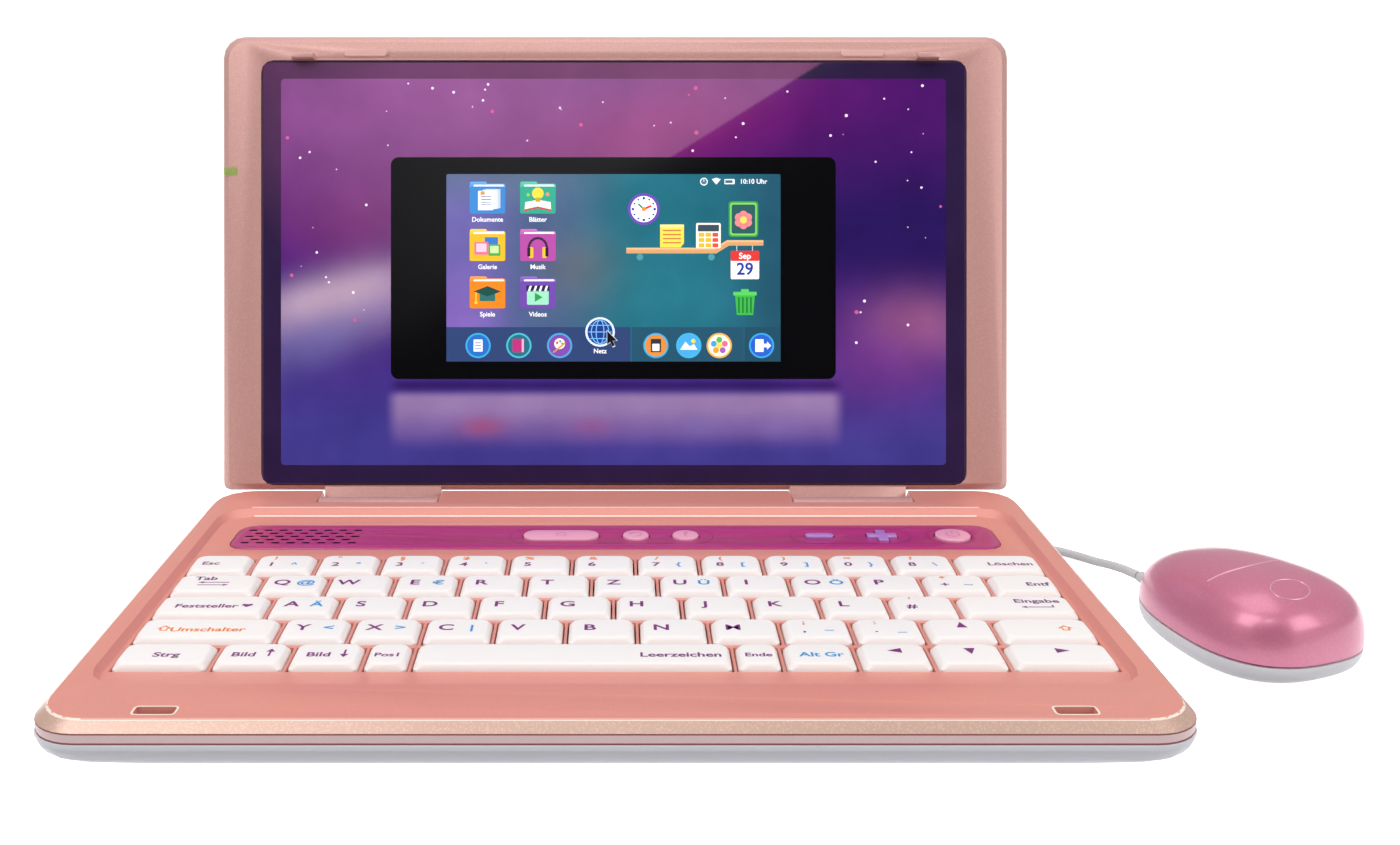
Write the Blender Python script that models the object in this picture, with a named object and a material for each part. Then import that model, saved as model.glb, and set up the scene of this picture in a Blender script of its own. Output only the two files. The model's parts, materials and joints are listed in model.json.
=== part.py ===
"""Toy laptop computer with a corded mouse.

Frame: metres, +Z up, +X to the user's right, +Y away from the user.
The origin is the middle of the flat underside of the base; the rubber feet reach below it.
The lid stands open at its usual angle. The mouse stands to the right on the same floor.
"""
import math

import bmesh
import bpy
from mathutils import Matrix, Vector

# ---- driving dimensions ------------------------------------------------------------------
GAP = 0.0003
FLOOR_Z = -0.0015

BASE_HALF_X = 0.1315
BASE_FRONT_Y = -0.0844
BASE_REAR_Y = 0.0844
BASE_CORNER = 0.012
RADIUS_CUT = 0.35
LEAST_RADIUS = 0.004
DECK_Z = 0.0240
PARTING_Z = 0.0190
CHAMFER = 0.0025
WELL_Z = 0.0220
PLATE_Z = 0.0200
WELL_HALF_X = 0.1231
WELL_FRONT_Y = -0.0629
WELL_REAR_Y = 0.0610

KEY_TOP_Z = 0.0237
KEY_BOTTOM_Z = 0.0188
KEY_FLANGE = 0.0008
KEY_GAP = 0.0014
KEY_UNIT = 0.0169
KEY_DEPTH = 0.0134
KEY_TAPER = 0.0007
ROW_PITCH = 0.0156
FIRST_ROW_Y = 0.0159
KEYS_LEFT_X = -0.1216
KEYS_RIGHT_X = 0.1216
KEY_CLEARANCE = 0.00035

STRIP_Y = 0.0420
STRIP_HALF_X = 0.1157
STRIP_HALF_Y = 0.0104
STRIP_Z = (0.0215, 0.0223)
BUTTON_TOP_Z = 0.0230

AXIS_Y = 0.0736
AXIS_Z = 0.0177
OPEN_ANGLE = math.radians(105.17)
LID_HALF_X = 0.13025
LID_BOTTOM = 0.0084
LID_TOP = 0.1590
LID_FACE = -0.0071
LID_SPLIT = -0.0106
LID_BACK = -0.0194
LID_CORNER = 0.0070
LID_FOOT_CORNER = 0.0024
KNUCKLE_X = 0.0770
KNUCKLE_HALF = 0.0193
BARREL_RADIUS = 0.0066
PIN_RADIUS = 0.0015
LATCH_X = 0.1030
LATCH_T = 0.1515

# Hull of the base's underside from its flat face up: side inset, front inset, height.
HULL = (
    (0.0160, 0.0280, 0.0), (0.0110, 0.0250, 0.0009), (0.0062, 0.0204, 0.0035),
    (0.0028, 0.0132, 0.0075), (0.0012, 0.0055, 0.0118), (0.0004, 0.0022, 0.0140),
    (-0.0002, 0.0004, 0.0162), (-0.0004, -0.0004, 0.0176),
)
HOLLOW = (
    (0.0180, 0.0300, 0.0020), (0.0095, 0.0240, 0.0048), (0.0056, 0.0170, 0.0085),
    (0.0036, 0.0100, 0.0122), (0.0026, 0.0050, 0.0150), (0.0024, 0.0026, 0.0172),
)
RIM = (-0.0004, -0.0004)
BATTERY_BAY = (-0.0545, 0.0545, 0.0120, 0.0470)
FOOT_PLACES = [(x, y) for x in (-0.100, 0.100) for y in (-0.046, 0.058)]

MOUSE_CENTRE = (0.1822, 0.0189)
MOUSE_TURN = math.radians(22.9)
MOUSE_LENGTH = 0.0650
MOUSE_WIDTH = 0.0478
MOUSE_EGG = 0.21
MOUSE_SQUARE = 2.45
MOUSE_SEAM_Z = 0.0058
MOUSE_SEAM_GAP = 0.0007
# Crown of the mouse: scale of its outline, rise over the seam, shift along the mouse.
CROWN = (
    (1.00, 0.0, 0.0), (0.992, 0.0035, 0.0), (0.955, 0.0075, -0.0004),
    (0.885, 0.0110, -0.0014), (0.775, 0.0140, -0.0025), (0.625, 0.0163, -0.0036),
    (0.435, 0.0180, -0.0045), (0.215, 0.0189, -0.0050),
)

CORD_DIAMETER = 0.0028
COIL_CENTRE = (0.072, 0.122)
COIL_RADIUS = 0.0155
COIL_LAYERS = 2
COIL_ROWS = 3
COIL_OUTER = COIL_RADIUS + CORD_DIAMETER * COIL_ROWS / 2
CORD_REST_Z = FLOOR_Z + CORD_DIAMETER / 2 + 0.0001
RELIEF_X = 0.100
RELIEF_Z = 0.0090

# Widths of the wider keys. The last key of each row fills what is left of its width.
WIDE = {
    "tab": 0.0228, "caps_lock": 0.0289, "shift_left": 0.0350, "ctrl": 0.0228,
    "home": 0.0104, "space": 0.0773, "end": 0.0104,
}
KEY_ROWS = (
    (["escape"], "number_keys", 11, ["backspace"]),
    (["tab"], "letter_keys_q_row", 11, ["delete"]),
    (["caps_lock"], "letter_keys_a_row", 10, ["enter"]),
    (["shift_left"], "letter_keys_y_row", 9, ["arrow_up", "shift_right"]),
    (["ctrl", "page_up", "page_down", "home", "space", "end", "alt_gr",
      "arrow_left", "arrow_down", "arrow_right"], None, 0, []),
)

MATERIALS = {
    "rose_shell": ((0.72, 0.34, 0.30), 0.38, 0.25),
    "rose_lid": ((0.66, 0.37, 0.34), 0.42, 0.30),
    "white_shell": ((0.78, 0.78, 0.84), 0.40, 0.0),
    "magenta_strip": ((0.45, 0.03, 0.18), 0.25, 0.0),
    "key_white": ((0.90, 0.87, 0.86), 0.45, 0.0),
    "button_pink": ((0.86, 0.42, 0.52), 0.35, 0.0),
    "window": ((0.10, 0.03, 0.20), 0.08, 0.0),
    "display": ((0.02, 0.02, 0.03), 0.30, 0.0),
    "steel": ((0.60, 0.60, 0.62), 0.30, 1.0),
    "rubber": ((0.10, 0.10, 0.11), 0.85, 0.0),
    "board": ((0.05, 0.25, 0.10), 0.55, 0.0),
    "membrane": ((0.75, 0.78, 0.80), 0.50, 0.0),
    "cell": ((0.12, 0.12, 0.14), 0.35, 0.3),
    "mouse_pink": ((0.60, 0.16, 0.26), 0.30, 0.3),
    "cord_grey": ((0.66, 0.66, 0.66), 0.55, 0.0),
}


# ---- helpers -----------------------------------------------------------------------------
def clear_scene():
    for item in list(bpy.data.objects):
        bpy.data.objects.remove(item, do_unlink=True)


def material(name):
    found = bpy.data.materials.get(name)
    if found:
        return found
    colour, roughness, metallic = MATERIALS[name]
    made = bpy.data.materials.new(name)
    made.use_nodes = True
    shader = made.node_tree.nodes["Principled BSDF"]
    shader.inputs["Base Color"].default_value = (*colour, 1.0)
    shader.inputs["Roughness"].default_value = roughness
    shader.inputs["Metallic"].default_value = metallic
    return made


def add_object(name, mesh, slot, smooth=False, cutter=False):
    thing = bpy.data.objects.new(name, mesh)
    bpy.context.collection.objects.link(thing)
    if slot:
        mesh.materials.append(material(slot))
    if smooth:
        mesh.shade_smooth()
        mesh.set_sharp_from_angle(angle=math.radians(35))
    if cutter:
        thing.hide_render = True
        thing.display_type = "WIRE"
    return thing


def rounded(half_x, half_y, radius, centre=(0.0, 0.0), steps=3):
    """Counter-clockwise outline of a rounded rectangle."""
    points = []
    for corner, (sx, sy) in enumerate(((1, 1), (-1, 1), (-1, -1), (1, -1))):
        cx = centre[0] + sx * (half_x - radius)
        cy = centre[1] + sy * (half_y - radius)
        for step in range(steps + 1):
            angle = math.pi / 2 * (corner + step / steps)
            points.append((cx + radius * math.cos(angle), cy + radius * math.sin(angle)))
    return points


def circle(radius, centre=(0.0, 0.0), steps=16):
    return [
        (centre[0] + radius * math.cos(2 * math.pi * i / steps),
         centre[1] + radius * math.sin(2 * math.pi * i / steps))
        for i in range(steps)
    ]


def rectangle(x0, x1, y0, y1):
    return [(x1, y1), (x0, y1), (x0, y0), (x1, y0)]


def add_loft(work, sections):
    """Closed body through outlines at rising heights: [(outline, z), ...]."""
    rings = [[work.verts.new((x, y, z)) for x, y in outline] for outline, z in sections]
    for low, high in zip(rings, rings[1:]):
        count = len(low)
        for i in range(count):
            j = (i + 1) % count
            work.faces.new((low[i], low[j], high[j], high[i]))
    work.faces.new(list(reversed(rings[0])))
    work.faces.new(rings[-1])


def loft_mesh(name, bodies):
    """One mesh of one or more closed lofted bodies."""
    work = bmesh.new()
    for sections in bodies:
        add_loft(work, sections)
    mesh = bpy.data.meshes.new(name)
    work.to_mesh(mesh)
    work.free()
    return mesh


def loft(name, sections, slot, smooth=False):
    return add_object(name, loft_mesh(name, [sections]), slot, smooth)


def cutter(name, bodies):
    return add_object(name, loft_mesh(name, bodies), None, cutter=True)


def along_x(mesh):
    """Turn a mesh lofted along Z so that it runs along X."""
    mesh.transform(Matrix.Rotation(math.pi / 2, 4, "Y"))
    return mesh


def boolean(target, other, operation="DIFFERENCE"):
    step = target.modifiers.new(operation.title(), "BOOLEAN")
    step.operation = operation
    step.solver = "EXACT"
    step.object = other
    return target


def box_sections(x0, x1, y0, y1, z0, z1):
    return [(rectangle(x0, x1, y0, y1), z0), (rectangle(x0, x1, y0, y1), z1)]


def base_outline(inset, front=None, steps=4):
    """Outline of the base, drawn in by an inset at the sides and rear and one at the front."""
    front = inset if front is None else front
    front_y = BASE_FRONT_Y + front
    rear_y = BASE_REAR_Y - inset
    radius = max(BASE_CORNER - inset * RADIUS_CUT, LEAST_RADIUS)
    return rounded(BASE_HALF_X - inset, (rear_y - front_y) / 2, radius,
                   (0.0, (rear_y + front_y) / 2), steps=steps)


# ---- keyboard layout ---------------------------------------------------------------------
def key_layout():
    """Every key as (node, left x, right x, centre y), in reading order."""
    keys = []
    for row, (left, group, count, right) in enumerate(KEY_ROWS):
        y = FIRST_ROW_Y - row * ROW_PITCH
        names = [(name, WIDE.get(name, KEY_UNIT)) for name in left]
        names += [(group, KEY_UNIT)] * count
        names += [(name, WIDE.get(name, KEY_UNIT)) for name in right]
        x = KEYS_LEFT_X
        for index, (name, width) in enumerate(names):
            end = KEYS_RIGHT_X if index == len(names) - 1 else x + width
            keys.append((name, x, end, y))
            x = end + KEY_GAP
    return keys


def key_sections(x0, x1, y):
    """Flange under the deck, then the tapered cap."""
    cx, half = (x0 + x1) / 2, (x1 - x0) / 2
    deep = KEY_DEPTH / 2
    flange = deep + 0.0007

    def outline(inset, depth, radius):
        return rounded(half - inset, depth - inset, radius, (cx, y), steps=1)

    return [
        (outline(0, flange, 0.0010), KEY_BOTTOM_Z),
        (outline(0, flange, 0.0010), KEY_BOTTOM_Z + KEY_FLANGE),
        (outline(0, deep, 0.0012), KEY_BOTTOM_Z + KEY_FLANGE),
        (outline(0, deep, 0.0012), WELL_Z),
        (outline(KEY_TAPER, deep, 0.0014), KEY_TOP_Z),
    ]


def build_keys():
    groups = {}
    for name, x0, x1, y in key_layout():
        groups.setdefault(name, []).append((x0, x1, y))
    for name, places in groups.items():
        if len(places) == 1:
            loft(name + "_key", key_sections(*places[0]), "key_white")
            continue
        x0, x1, y = places[0][0], places[-1][1], places[0][2]
        half = KEY_DEPTH / 2 + 0.0007
        web = loft(
            name,
            box_sections(x0, x1, y - half, y + half, KEY_BOTTOM_Z, KEY_BOTTOM_Z + KEY_FLANGE),
            "key_white",
        )
        caps = [
            [(outline, z - (0.0002 if index == 0 else 0.0)) for index, (outline, z)
             in enumerate(key_sections(*place)[2:])]
            for place in places
        ]
        boolean(web, cutter(name + "_caps", caps), "UNION")


# ---- base --------------------------------------------------------------------------------
def hinge_notches():
    """Room for the two lid knuckles: a round seat and a way out to the rear."""
    bodies = []
    for side in (-1, 1):
        x0 = side * KNUCKLE_X - KNUCKLE_HALF - 0.0005
        x1 = side * KNUCKLE_X + KNUCKLE_HALF + 0.0005
        profile = []
        radius = BARREL_RADIUS + 0.0008
        for step in range(11):
            angle = math.radians(90 + 18 * step)
            profile.append((radius * math.cos(angle), radius * math.sin(angle)))
        profile += [(0.0200, -radius), (0.0200, 0.0120), (0.0, 0.0120)]
        sections = [
            ([(AXIS_Z + z, AXIS_Y + y) for y, z in reversed(profile)], -x1),
            ([(AXIS_Z + z, AXIS_Y + y) for y, z in reversed(profile)], -x0),
        ]
        bodies.append(sections)
    mesh = loft_mesh("hinge_notches", bodies)
    # lofted along Z with (z, y) outlines: swing it so that Z becomes -X
    mesh.transform(Matrix(((0, 0, -1, 0), (0, 1, 0, 0), (1, 0, 0, 0), (0, 0, 0, 1))))
    return add_object("hinge_notches", mesh, None, cutter=True)


def build_base_top(notches):
    half_y = (BASE_REAR_Y - BASE_FRONT_Y) / 2
    low = PARTING_Z + GAP / 2
    cover = loft(
        "base_top_cover",
        [
            (base_outline(0.0), low),
            (base_outline(0.0), DECK_Z - CHAMFER),
            (base_outline(CHAMFER), DECK_Z),
        ],
        "rose_shell",
    )
    inner = rounded(BASE_HALF_X - 0.0030, half_y - 0.0030, 0.009)
    boolean(cover, cutter("top_cavity", [[(inner, low - 0.002), (inner, PLATE_Z)]]))

    mid_y = (WELL_REAR_Y + WELL_FRONT_Y) / 2
    deep_y = (WELL_REAR_Y - WELL_FRONT_Y) / 2
    floor = rounded(WELL_HALF_X, deep_y, 0.008, (0.0, mid_y))
    brow = rounded(WELL_HALF_X + 0.0018, deep_y + 0.0030, 0.0095, (0.0, mid_y + 0.0009))
    boolean(cover, cutter("well", [[(floor, WELL_Z), (brow, DECK_Z + 0.0008)]]))

    openings = []
    for name, x0, x1, y in key_layout():
        grow = KEY_CLEARANCE
        half = KEY_DEPTH / 2 + grow
        openings.append(box_sections(x0 - grow, x1 + grow, y - half, y + half, 0.0190, 0.0230))
    boolean(cover, cutter("key_openings", openings))

    grow = GAP
    seat = rounded(STRIP_HALF_X + grow, STRIP_HALF_Y + grow, 0.0055, (0.0, STRIP_Y))
    boolean(cover, cutter("strip_seat", [[(seat, STRIP_Z[0] - GAP), (seat, 0.0230)]]))

    through = [
        [(outline(KEY_CLEARANCE), 0.0190), (outline(KEY_CLEARANCE), 0.0230)]
        for _, outline, _ in BUTTONS
    ]
    through.append(box_sections(-0.1120, -0.0780, STRIP_Y - 0.0065, STRIP_Y + 0.0065, 0.019, 0.023))
    for side in (-1, 1):
        y = AXIS_Y - LATCH_T
        x = side * LATCH_X
        through.append(box_sections(x - 0.0046, x + 0.0046, y - 0.0018, y + 0.0018, 0.017, 0.026))
    boolean(cover, cutter("deck_openings", through))
    boolean(cover, notches)
    return cover


def build_base_bottom(notches):
    top = PARTING_Z - GAP / 2
    shell = loft("base_bottom_cover",
                 [(base_outline(i, f), z) for i, f, z in HULL] + [(base_outline(*RIM), top)],
                 "white_shell")
    sections = [(base_outline(i, f), z) for i, f, z in HOLLOW]
    sections.append((sections[-1][0], top + 0.002))
    boolean(shell, cutter("bottom_cavity", [sections]))

    holes = [box_sections(*BATTERY_BAY, -0.001, 0.003)]
    holes += [
        [(circle(0.0053, place), -0.001), (circle(0.0053, place), 0.0008)]
        for place in FOOT_PLACES
    ]
    boolean(shell, cutter("underside_openings", holes))
    boolean(shell, notches)

    jack = along_x(loft_mesh("jack_hole", [[
        (circle(0.0040, (-0.0110, 0.0560), 12), -0.1400),
        (circle(0.0040, (-0.0110, 0.0560), 12), -0.1228),
    ]]))
    boolean(shell, add_object("jack_hole", jack, None, cutter=True))
    relief = loft_mesh("relief_hole", [[(circle(0.0036, steps=12), -0.002),
                                        (circle(0.0036, steps=12), 0.010)]])
    relief.transform(Matrix.Translation((RELIEF_X, 0.0780, RELIEF_Z))
                     @ Matrix.Rotation(-math.pi / 2, 4, "X"))
    boolean(shell, add_object("relief_hole", relief, None, cutter=True))

    saddles = []
    for side in (-1, 1):
        for x in (KNUCKLE_X - KNUCKLE_HALF - 0.0040, KNUCKLE_X + KNUCKLE_HALF + 0.0040):
            saddles.append(box_sections(side * x - 0.0022, side * x + 0.0022,
                                        AXIS_Y - 0.0030, AXIS_Y + 0.0030,
                                        0.0015, AXIS_Z - PIN_RADIUS - GAP))
    boolean(shell, cutter("pin_saddles", saddles), "UNION")
    return shell


def build_feet():
    for index, place in enumerate(FOOT_PLACES):
        loft("rubber_foot_%d" % (index + 1),
             [(circle(0.0043, place), FLOOR_Z),
              (circle(0.0050, place), FLOOR_Z + 0.0006),
              (circle(0.0050, place), 0.0008 - GAP)],
             "rubber", smooth=True)


def build_power():
    x0, x1, y0, y1 = BATTERY_BAY
    edge = GAP
    door = loft("battery_door",
                box_sections(x0 + edge, x1 - edge, y0 + edge, y1 - edge, 0.0, 0.0016),
                "white_shell")
    screw_place = (0.0, y0 + 0.0060)
    recess = [(circle(0.0031, screw_place, 12), -0.001), (circle(0.0031, screw_place, 12), 0.003)]
    boolean(door, cutter("door_screw_hole", [recess]))
    loft("battery_door_screw",
         [(circle(0.0027, screw_place, 12), 0.0002), (circle(0.0027, screw_place, 12), 0.0014),
          (circle(0.0012, screw_place, 12), 0.0014), (circle(0.0012, screw_place, 12), 0.0070)],
         "steel", smooth=True)
    number = 0
    for y in (0.0375, 0.0215 + 0.0008):
        for x in (-0.0262, 0.0262):
            number += 1
            sections = [
                (circle(0.0068, (-0.0093, y), 14), x - 0.0240),
                (circle(0.0070, (-0.0093, y), 14), x - 0.0236),
                (circle(0.0070, (-0.0093, y), 14), x + 0.0232),
                (circle(0.0027, (-0.0093, y), 14), x + 0.0232),
                (circle(0.0027, (-0.0093, y), 14), x + 0.0244),
            ]
            mesh = along_x(loft_mesh("battery_%d" % number, [sections]))
            add_object("battery_%d" % number, mesh, "cell", smooth=True)

    body = along_x(loft_mesh("power_jack", [[
        (rounded(0.0045, 0.0045, 0.0008, (-0.0110, 0.0560), 1), -0.1225),
        (rounded(0.0045, 0.0045, 0.0008, (-0.0110, 0.0560), 1), -0.1115),
    ]]))
    jack = add_object("power_jack", body, "rubber")
    bore = along_x(loft_mesh("jack_bore", [[
        (circle(0.0032, (-0.0110, 0.0560), 12), -0.1300),
        (circle(0.0032, (-0.0110, 0.0560), 12), -0.1140),
    ]]))
    boolean(jack, add_object("jack_bore", bore, None, cutter=True))


def build_electronics():
    loft("keyboard_membrane",
         box_sections(-0.1205, 0.1205, -0.0560, 0.0500, 0.0170, 0.0173), "membrane")
    loft("main_board", box_sections(-0.1000, 0.1000, -0.0560, 0.0090, 0.0140, 0.0156), "board")
    place = (-0.0950, STRIP_Y)
    # the speaker faces up below its grille, under the membrane's left rear corner
    sections = [(circle(0.0070, place), 0.0090), (circle(0.0070, place), 0.0130),
                (circle(0.0135, place), 0.0150), (circle(0.0135, place), 0.0166)]
    loft("speaker", sections, "rubber", smooth=True)


def pill(half_x, half_y, centre, steps=4):
    def outline(grow, steps=steps):
        return rounded(half_x + grow, half_y + grow, min(half_x, half_y) + grow - 0.00005,
                       centre, steps)
    return outline


def plus_sign(half, arm, centre):
    def outline(grow):
        a, b = half + grow, arm + grow
        shape = [(a, -b), (a, b), (b, b), (b, a), (-b, a), (-b, b), (-a, b), (-a, -b),
                 (-b, -b), (-b, -a), (b, -a), (b, -b)]
        return [(centre[0] + x, centre[1] + y) for x, y in shape]
    return outline


BUTTONS = [
    ("home_button", pill(0.0115, 0.0040, (-0.0165, STRIP_Y)), "button_pink"),
    ("back_button", pill(0.0040, 0.0040, (0.0062, STRIP_Y)), "button_pink"),
    ("help_button", pill(0.0040, 0.0040, (0.0213, STRIP_Y)), "button_pink"),
    ("volume_down_button", pill(0.0044, 0.0016, (0.0620, STRIP_Y), 2), "button_pink"),
    ("volume_up_button", plus_sign(0.0045, 0.0015, (0.0810, STRIP_Y)), "button_pink"),
    ("power_button", pill(0.0054, 0.0054, (0.1026, STRIP_Y)), "button_pink"),
]


def build_buttons():
    for name, outline, slot in BUTTONS:
        loft(name,
             [(outline(0.0008), KEY_BOTTOM_Z), (outline(0.0008), KEY_BOTTOM_Z + 0.0008),
              (outline(0.0), KEY_BOTTOM_Z + 0.0008), (outline(0.0), BUTTON_TOP_Z - 0.0003),
              (outline(-0.0003), BUTTON_TOP_Z)],
             slot, smooth=True)


def build_strip():
    outline = rounded(STRIP_HALF_X, STRIP_HALF_Y, 0.0052, (0.0, STRIP_Y))
    edge = rounded(STRIP_HALF_X - 0.0003, STRIP_HALF_Y - 0.0003, 0.0050, (0.0, STRIP_Y))
    strip = loft("control_strip",
                 [(outline, STRIP_Z[0]), (outline, STRIP_Z[1] - 0.0003), (edge, STRIP_Z[1])],
                 "magenta_strip")
    holes = [
        [(outline(KEY_CLEARANCE), 0.0205), (outline(KEY_CLEARANCE), 0.0235)]
        for _, outline, _ in BUTTONS
    ]
    pitch_x, pitch_y = 0.0046, 0.0028
    for row in range(5):
        columns = 8 - row % 2
        for column in range(columns):
            x = -0.0953 + (column - (columns - 1) / 2) * pitch_x
            y = STRIP_Y + (row - 2) * pitch_y
            slot = [(x + 0.0015, y), (x + 0.0009, y + 0.0006), (x - 0.0009, y + 0.0006),
                    (x - 0.0015, y), (x - 0.0009, y - 0.0006), (x + 0.0009, y - 0.0006)]
            holes.append([(slot, 0.0205), (slot, 0.0235)])
    boolean(strip, cutter("strip_openings", holes))


# ---- lid ---------------------------------------------------------------------------------
def lid_outline(inset):
    """Outline of the lid, with round upper corners and nearly square ones at the hinge."""
    half_t = (LID_TOP - LID_BOTTOM) / 2
    centre = (0.0, (LID_TOP + LID_BOTTOM) / 2)
    upper, lower = [
        rounded(LID_HALF_X - inset, half_t - inset, radius - inset * 0.5, centre, 4)
        for radius in (LID_CORNER, LID_FOOT_CORNER)
    ]
    return [u if u[1] > centre[1] else v for u, v in zip(upper, lower)]


def build_lid():
    """The lid is drawn lying flat: X across, Y up the lid from the hinge axis, Z to the face."""
    hinge = bpy.data.objects.new("lid_hinge_axis", None)
    bpy.context.collection.objects.link(hinge)
    hinge.location = (0.0, AXIS_Y, AXIS_Z)
    hinge.rotation_euler = (math.pi - OPEN_ANGLE, 0.0, 0.0)

    edge = 0.0022
    bezel = loft("lid_front_bezel",
                 [(lid_outline(0.0), LID_SPLIT), (lid_outline(0.0), LID_FACE - edge),
                  (lid_outline(edge), LID_FACE)],
                 "rose_lid")
    middle = (-0.0005, 0.0804)
    seat = rounded(0.1169, 0.0704, 0.0040, middle)
    light = rounded(0.1125, 0.0660, 0.0020, middle)
    parts = [bezel]
    parts.append(cutter("window_seat", [[(seat, LID_FACE - 0.0020), (seat, LID_FACE + 0.002)]]))
    boolean(bezel, parts[-1])
    parts.append(cutter("window_light", [[(light, LID_SPLIT - 0.002), (light, LID_FACE)]]))
    boolean(bezel, parts[-1])

    arms, catches, barrels = [], [], []
    for side in (-1, 1):
        x0 = side * KNUCKLE_X - KNUCKLE_HALF
        x1 = side * KNUCKLE_X + KNUCKLE_HALF
        foot = [(-LID_SPLIT - 0.0001, -0.0030), (-LID_SPLIT - 0.0001, 0.0096),
                (-LID_FACE + 0.0001, 0.0096), (-LID_FACE + 0.0001, 0.0032),
                (0.0040, 0.0032), (0.0040, -0.0030)]
        arms.append([(foot, x0 + 0.0001), (foot, x1 - 0.0001)])
        barrels.append([(circle(BARREL_RADIUS, steps=24), x0), (circle(BARREL_RADIUS, steps=24), x1)])
        hook_x = side * LATCH_X
        catches.append([
            (rectangle(hook_x - 0.0038, hook_x + 0.0038, LATCH_T - 0.0009, LATCH_T + 0.0009),
             LID_FACE - 0.0015),
            (rectangle(hook_x - 0.0036, hook_x + 0.0036, LATCH_T - 0.0009, LATCH_T + 0.0009),
             LID_FACE + 0.0026),
            (rectangle(hook_x - 0.0036, hook_x + 0.0036, LATCH_T - 0.0009, LATCH_T + 0.0013),
             LID_FACE + 0.0030),
            (rectangle(hook_x - 0.0036, hook_x + 0.0036, LATCH_T - 0.0005, LATCH_T + 0.0007),
             LID_FACE + 0.0038),
        ])
        pad = rounded(0.0071, 0.0012, 0.00115, (side * 0.0822, 0.1533), 3)
        catches.append([(pad, LID_FACE - 0.0010), (pad, LID_FACE + 0.0005)])
    barrel_mesh = along_x(loft_mesh("barrels", barrels))
    parts.append(add_object("barrels", barrel_mesh, None, cutter=True))
    boolean(bezel, parts[-1], "UNION")
    parts.append(add_object("lid_arms", along_x(loft_mesh("lid_arms", arms)), None, cutter=True))
    boolean(bezel, parts[-1], "UNION")
    parts.append(cutter("lid_catches", catches))
    boolean(bezel, parts[-1], "UNION")
    bore_mesh = along_x(loft_mesh("pin_bores", [[
        (circle(PIN_RADIUS + 0.0004, steps=12), -0.1200),
        (circle(PIN_RADIUS + 0.0004, steps=12), 0.1200),
    ]]))
    parts.append(add_object("pin_bores", bore_mesh, None, cutter=True))
    boolean(bezel, parts[-1])

    back_edge = 0.0030
    top = LID_SPLIT - GAP
    back = loft("lid_back_cover",
                [(lid_outline(back_edge), LID_BACK), (lid_outline(0.0), LID_BACK + back_edge),
                 (lid_outline(0.0), top)],
                "rose_lid")
    pocket = lid_outline(0.0024)
    parts.append(cutter("back_pocket", [[(pocket, LID_BACK + 0.0024), (pocket, top + 0.002)]]))
    boolean(back, parts[-1])
    parts.append(back)

    pane = rounded(0.1166, 0.0701, 0.0038, middle)
    parts.append(loft("screen_window", [(pane, LID_FACE - 0.0017), (pane, LID_FACE - 0.0002)],
                      "window"))
    parts.append(loft("lcd_module",
                      box_sections(-0.0605, 0.0592, 0.0440, 0.1200, -0.0150, LID_FACE - 0.0022),
                      "display"))
    for part in parts:
        part.parent = hinge

    for side, word in ((-1, "left"), (1, "right")):
        reach = KNUCKLE_HALF + 0.0060
        mesh = along_x(loft_mesh("hinge_pin", [[
            (circle(PIN_RADIUS, steps=12), side * KNUCKLE_X - reach),
            (circle(PIN_RADIUS, steps=12), side * KNUCKLE_X + reach),
        ]]))
        mesh.transform(Matrix.Translation((0.0, AXIS_Y, AXIS_Z)))
        add_object("hinge_pin_" + word, mesh, "steel", smooth=True)


# ---- mouse -------------------------------------------------------------------------------
def squared(value):
    """A sine or cosine bent so that the outline it draws is a little squarer."""
    return math.copysign(abs(value) ** (2 / MOUSE_SQUARE), value)


def egg(scale, shift=0.0, steps=28):
    """Egg outline, narrow towards the cord at +Y."""
    points = []
    for step in range(steps):
        angle = 2 * math.pi * step / steps
        along = squared(math.sin(angle))
        width = MOUSE_WIDTH / 2 * (1.0 - MOUSE_EGG * along)
        points.append((scale * width * squared(math.cos(angle)),
                       scale * MOUSE_LENGTH / 2 * along + shift))
    return points


def mouse_crown(offset):
    """Sections of the pearl top, drawn in by an offset for the inside."""
    low = MOUSE_SEAM_Z + MOUSE_SEAM_GAP
    return [(egg(scale - offset * 40, shift), low + rise - (offset if rise else 0.0))
            for scale, rise, shift in CROWN]


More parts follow.
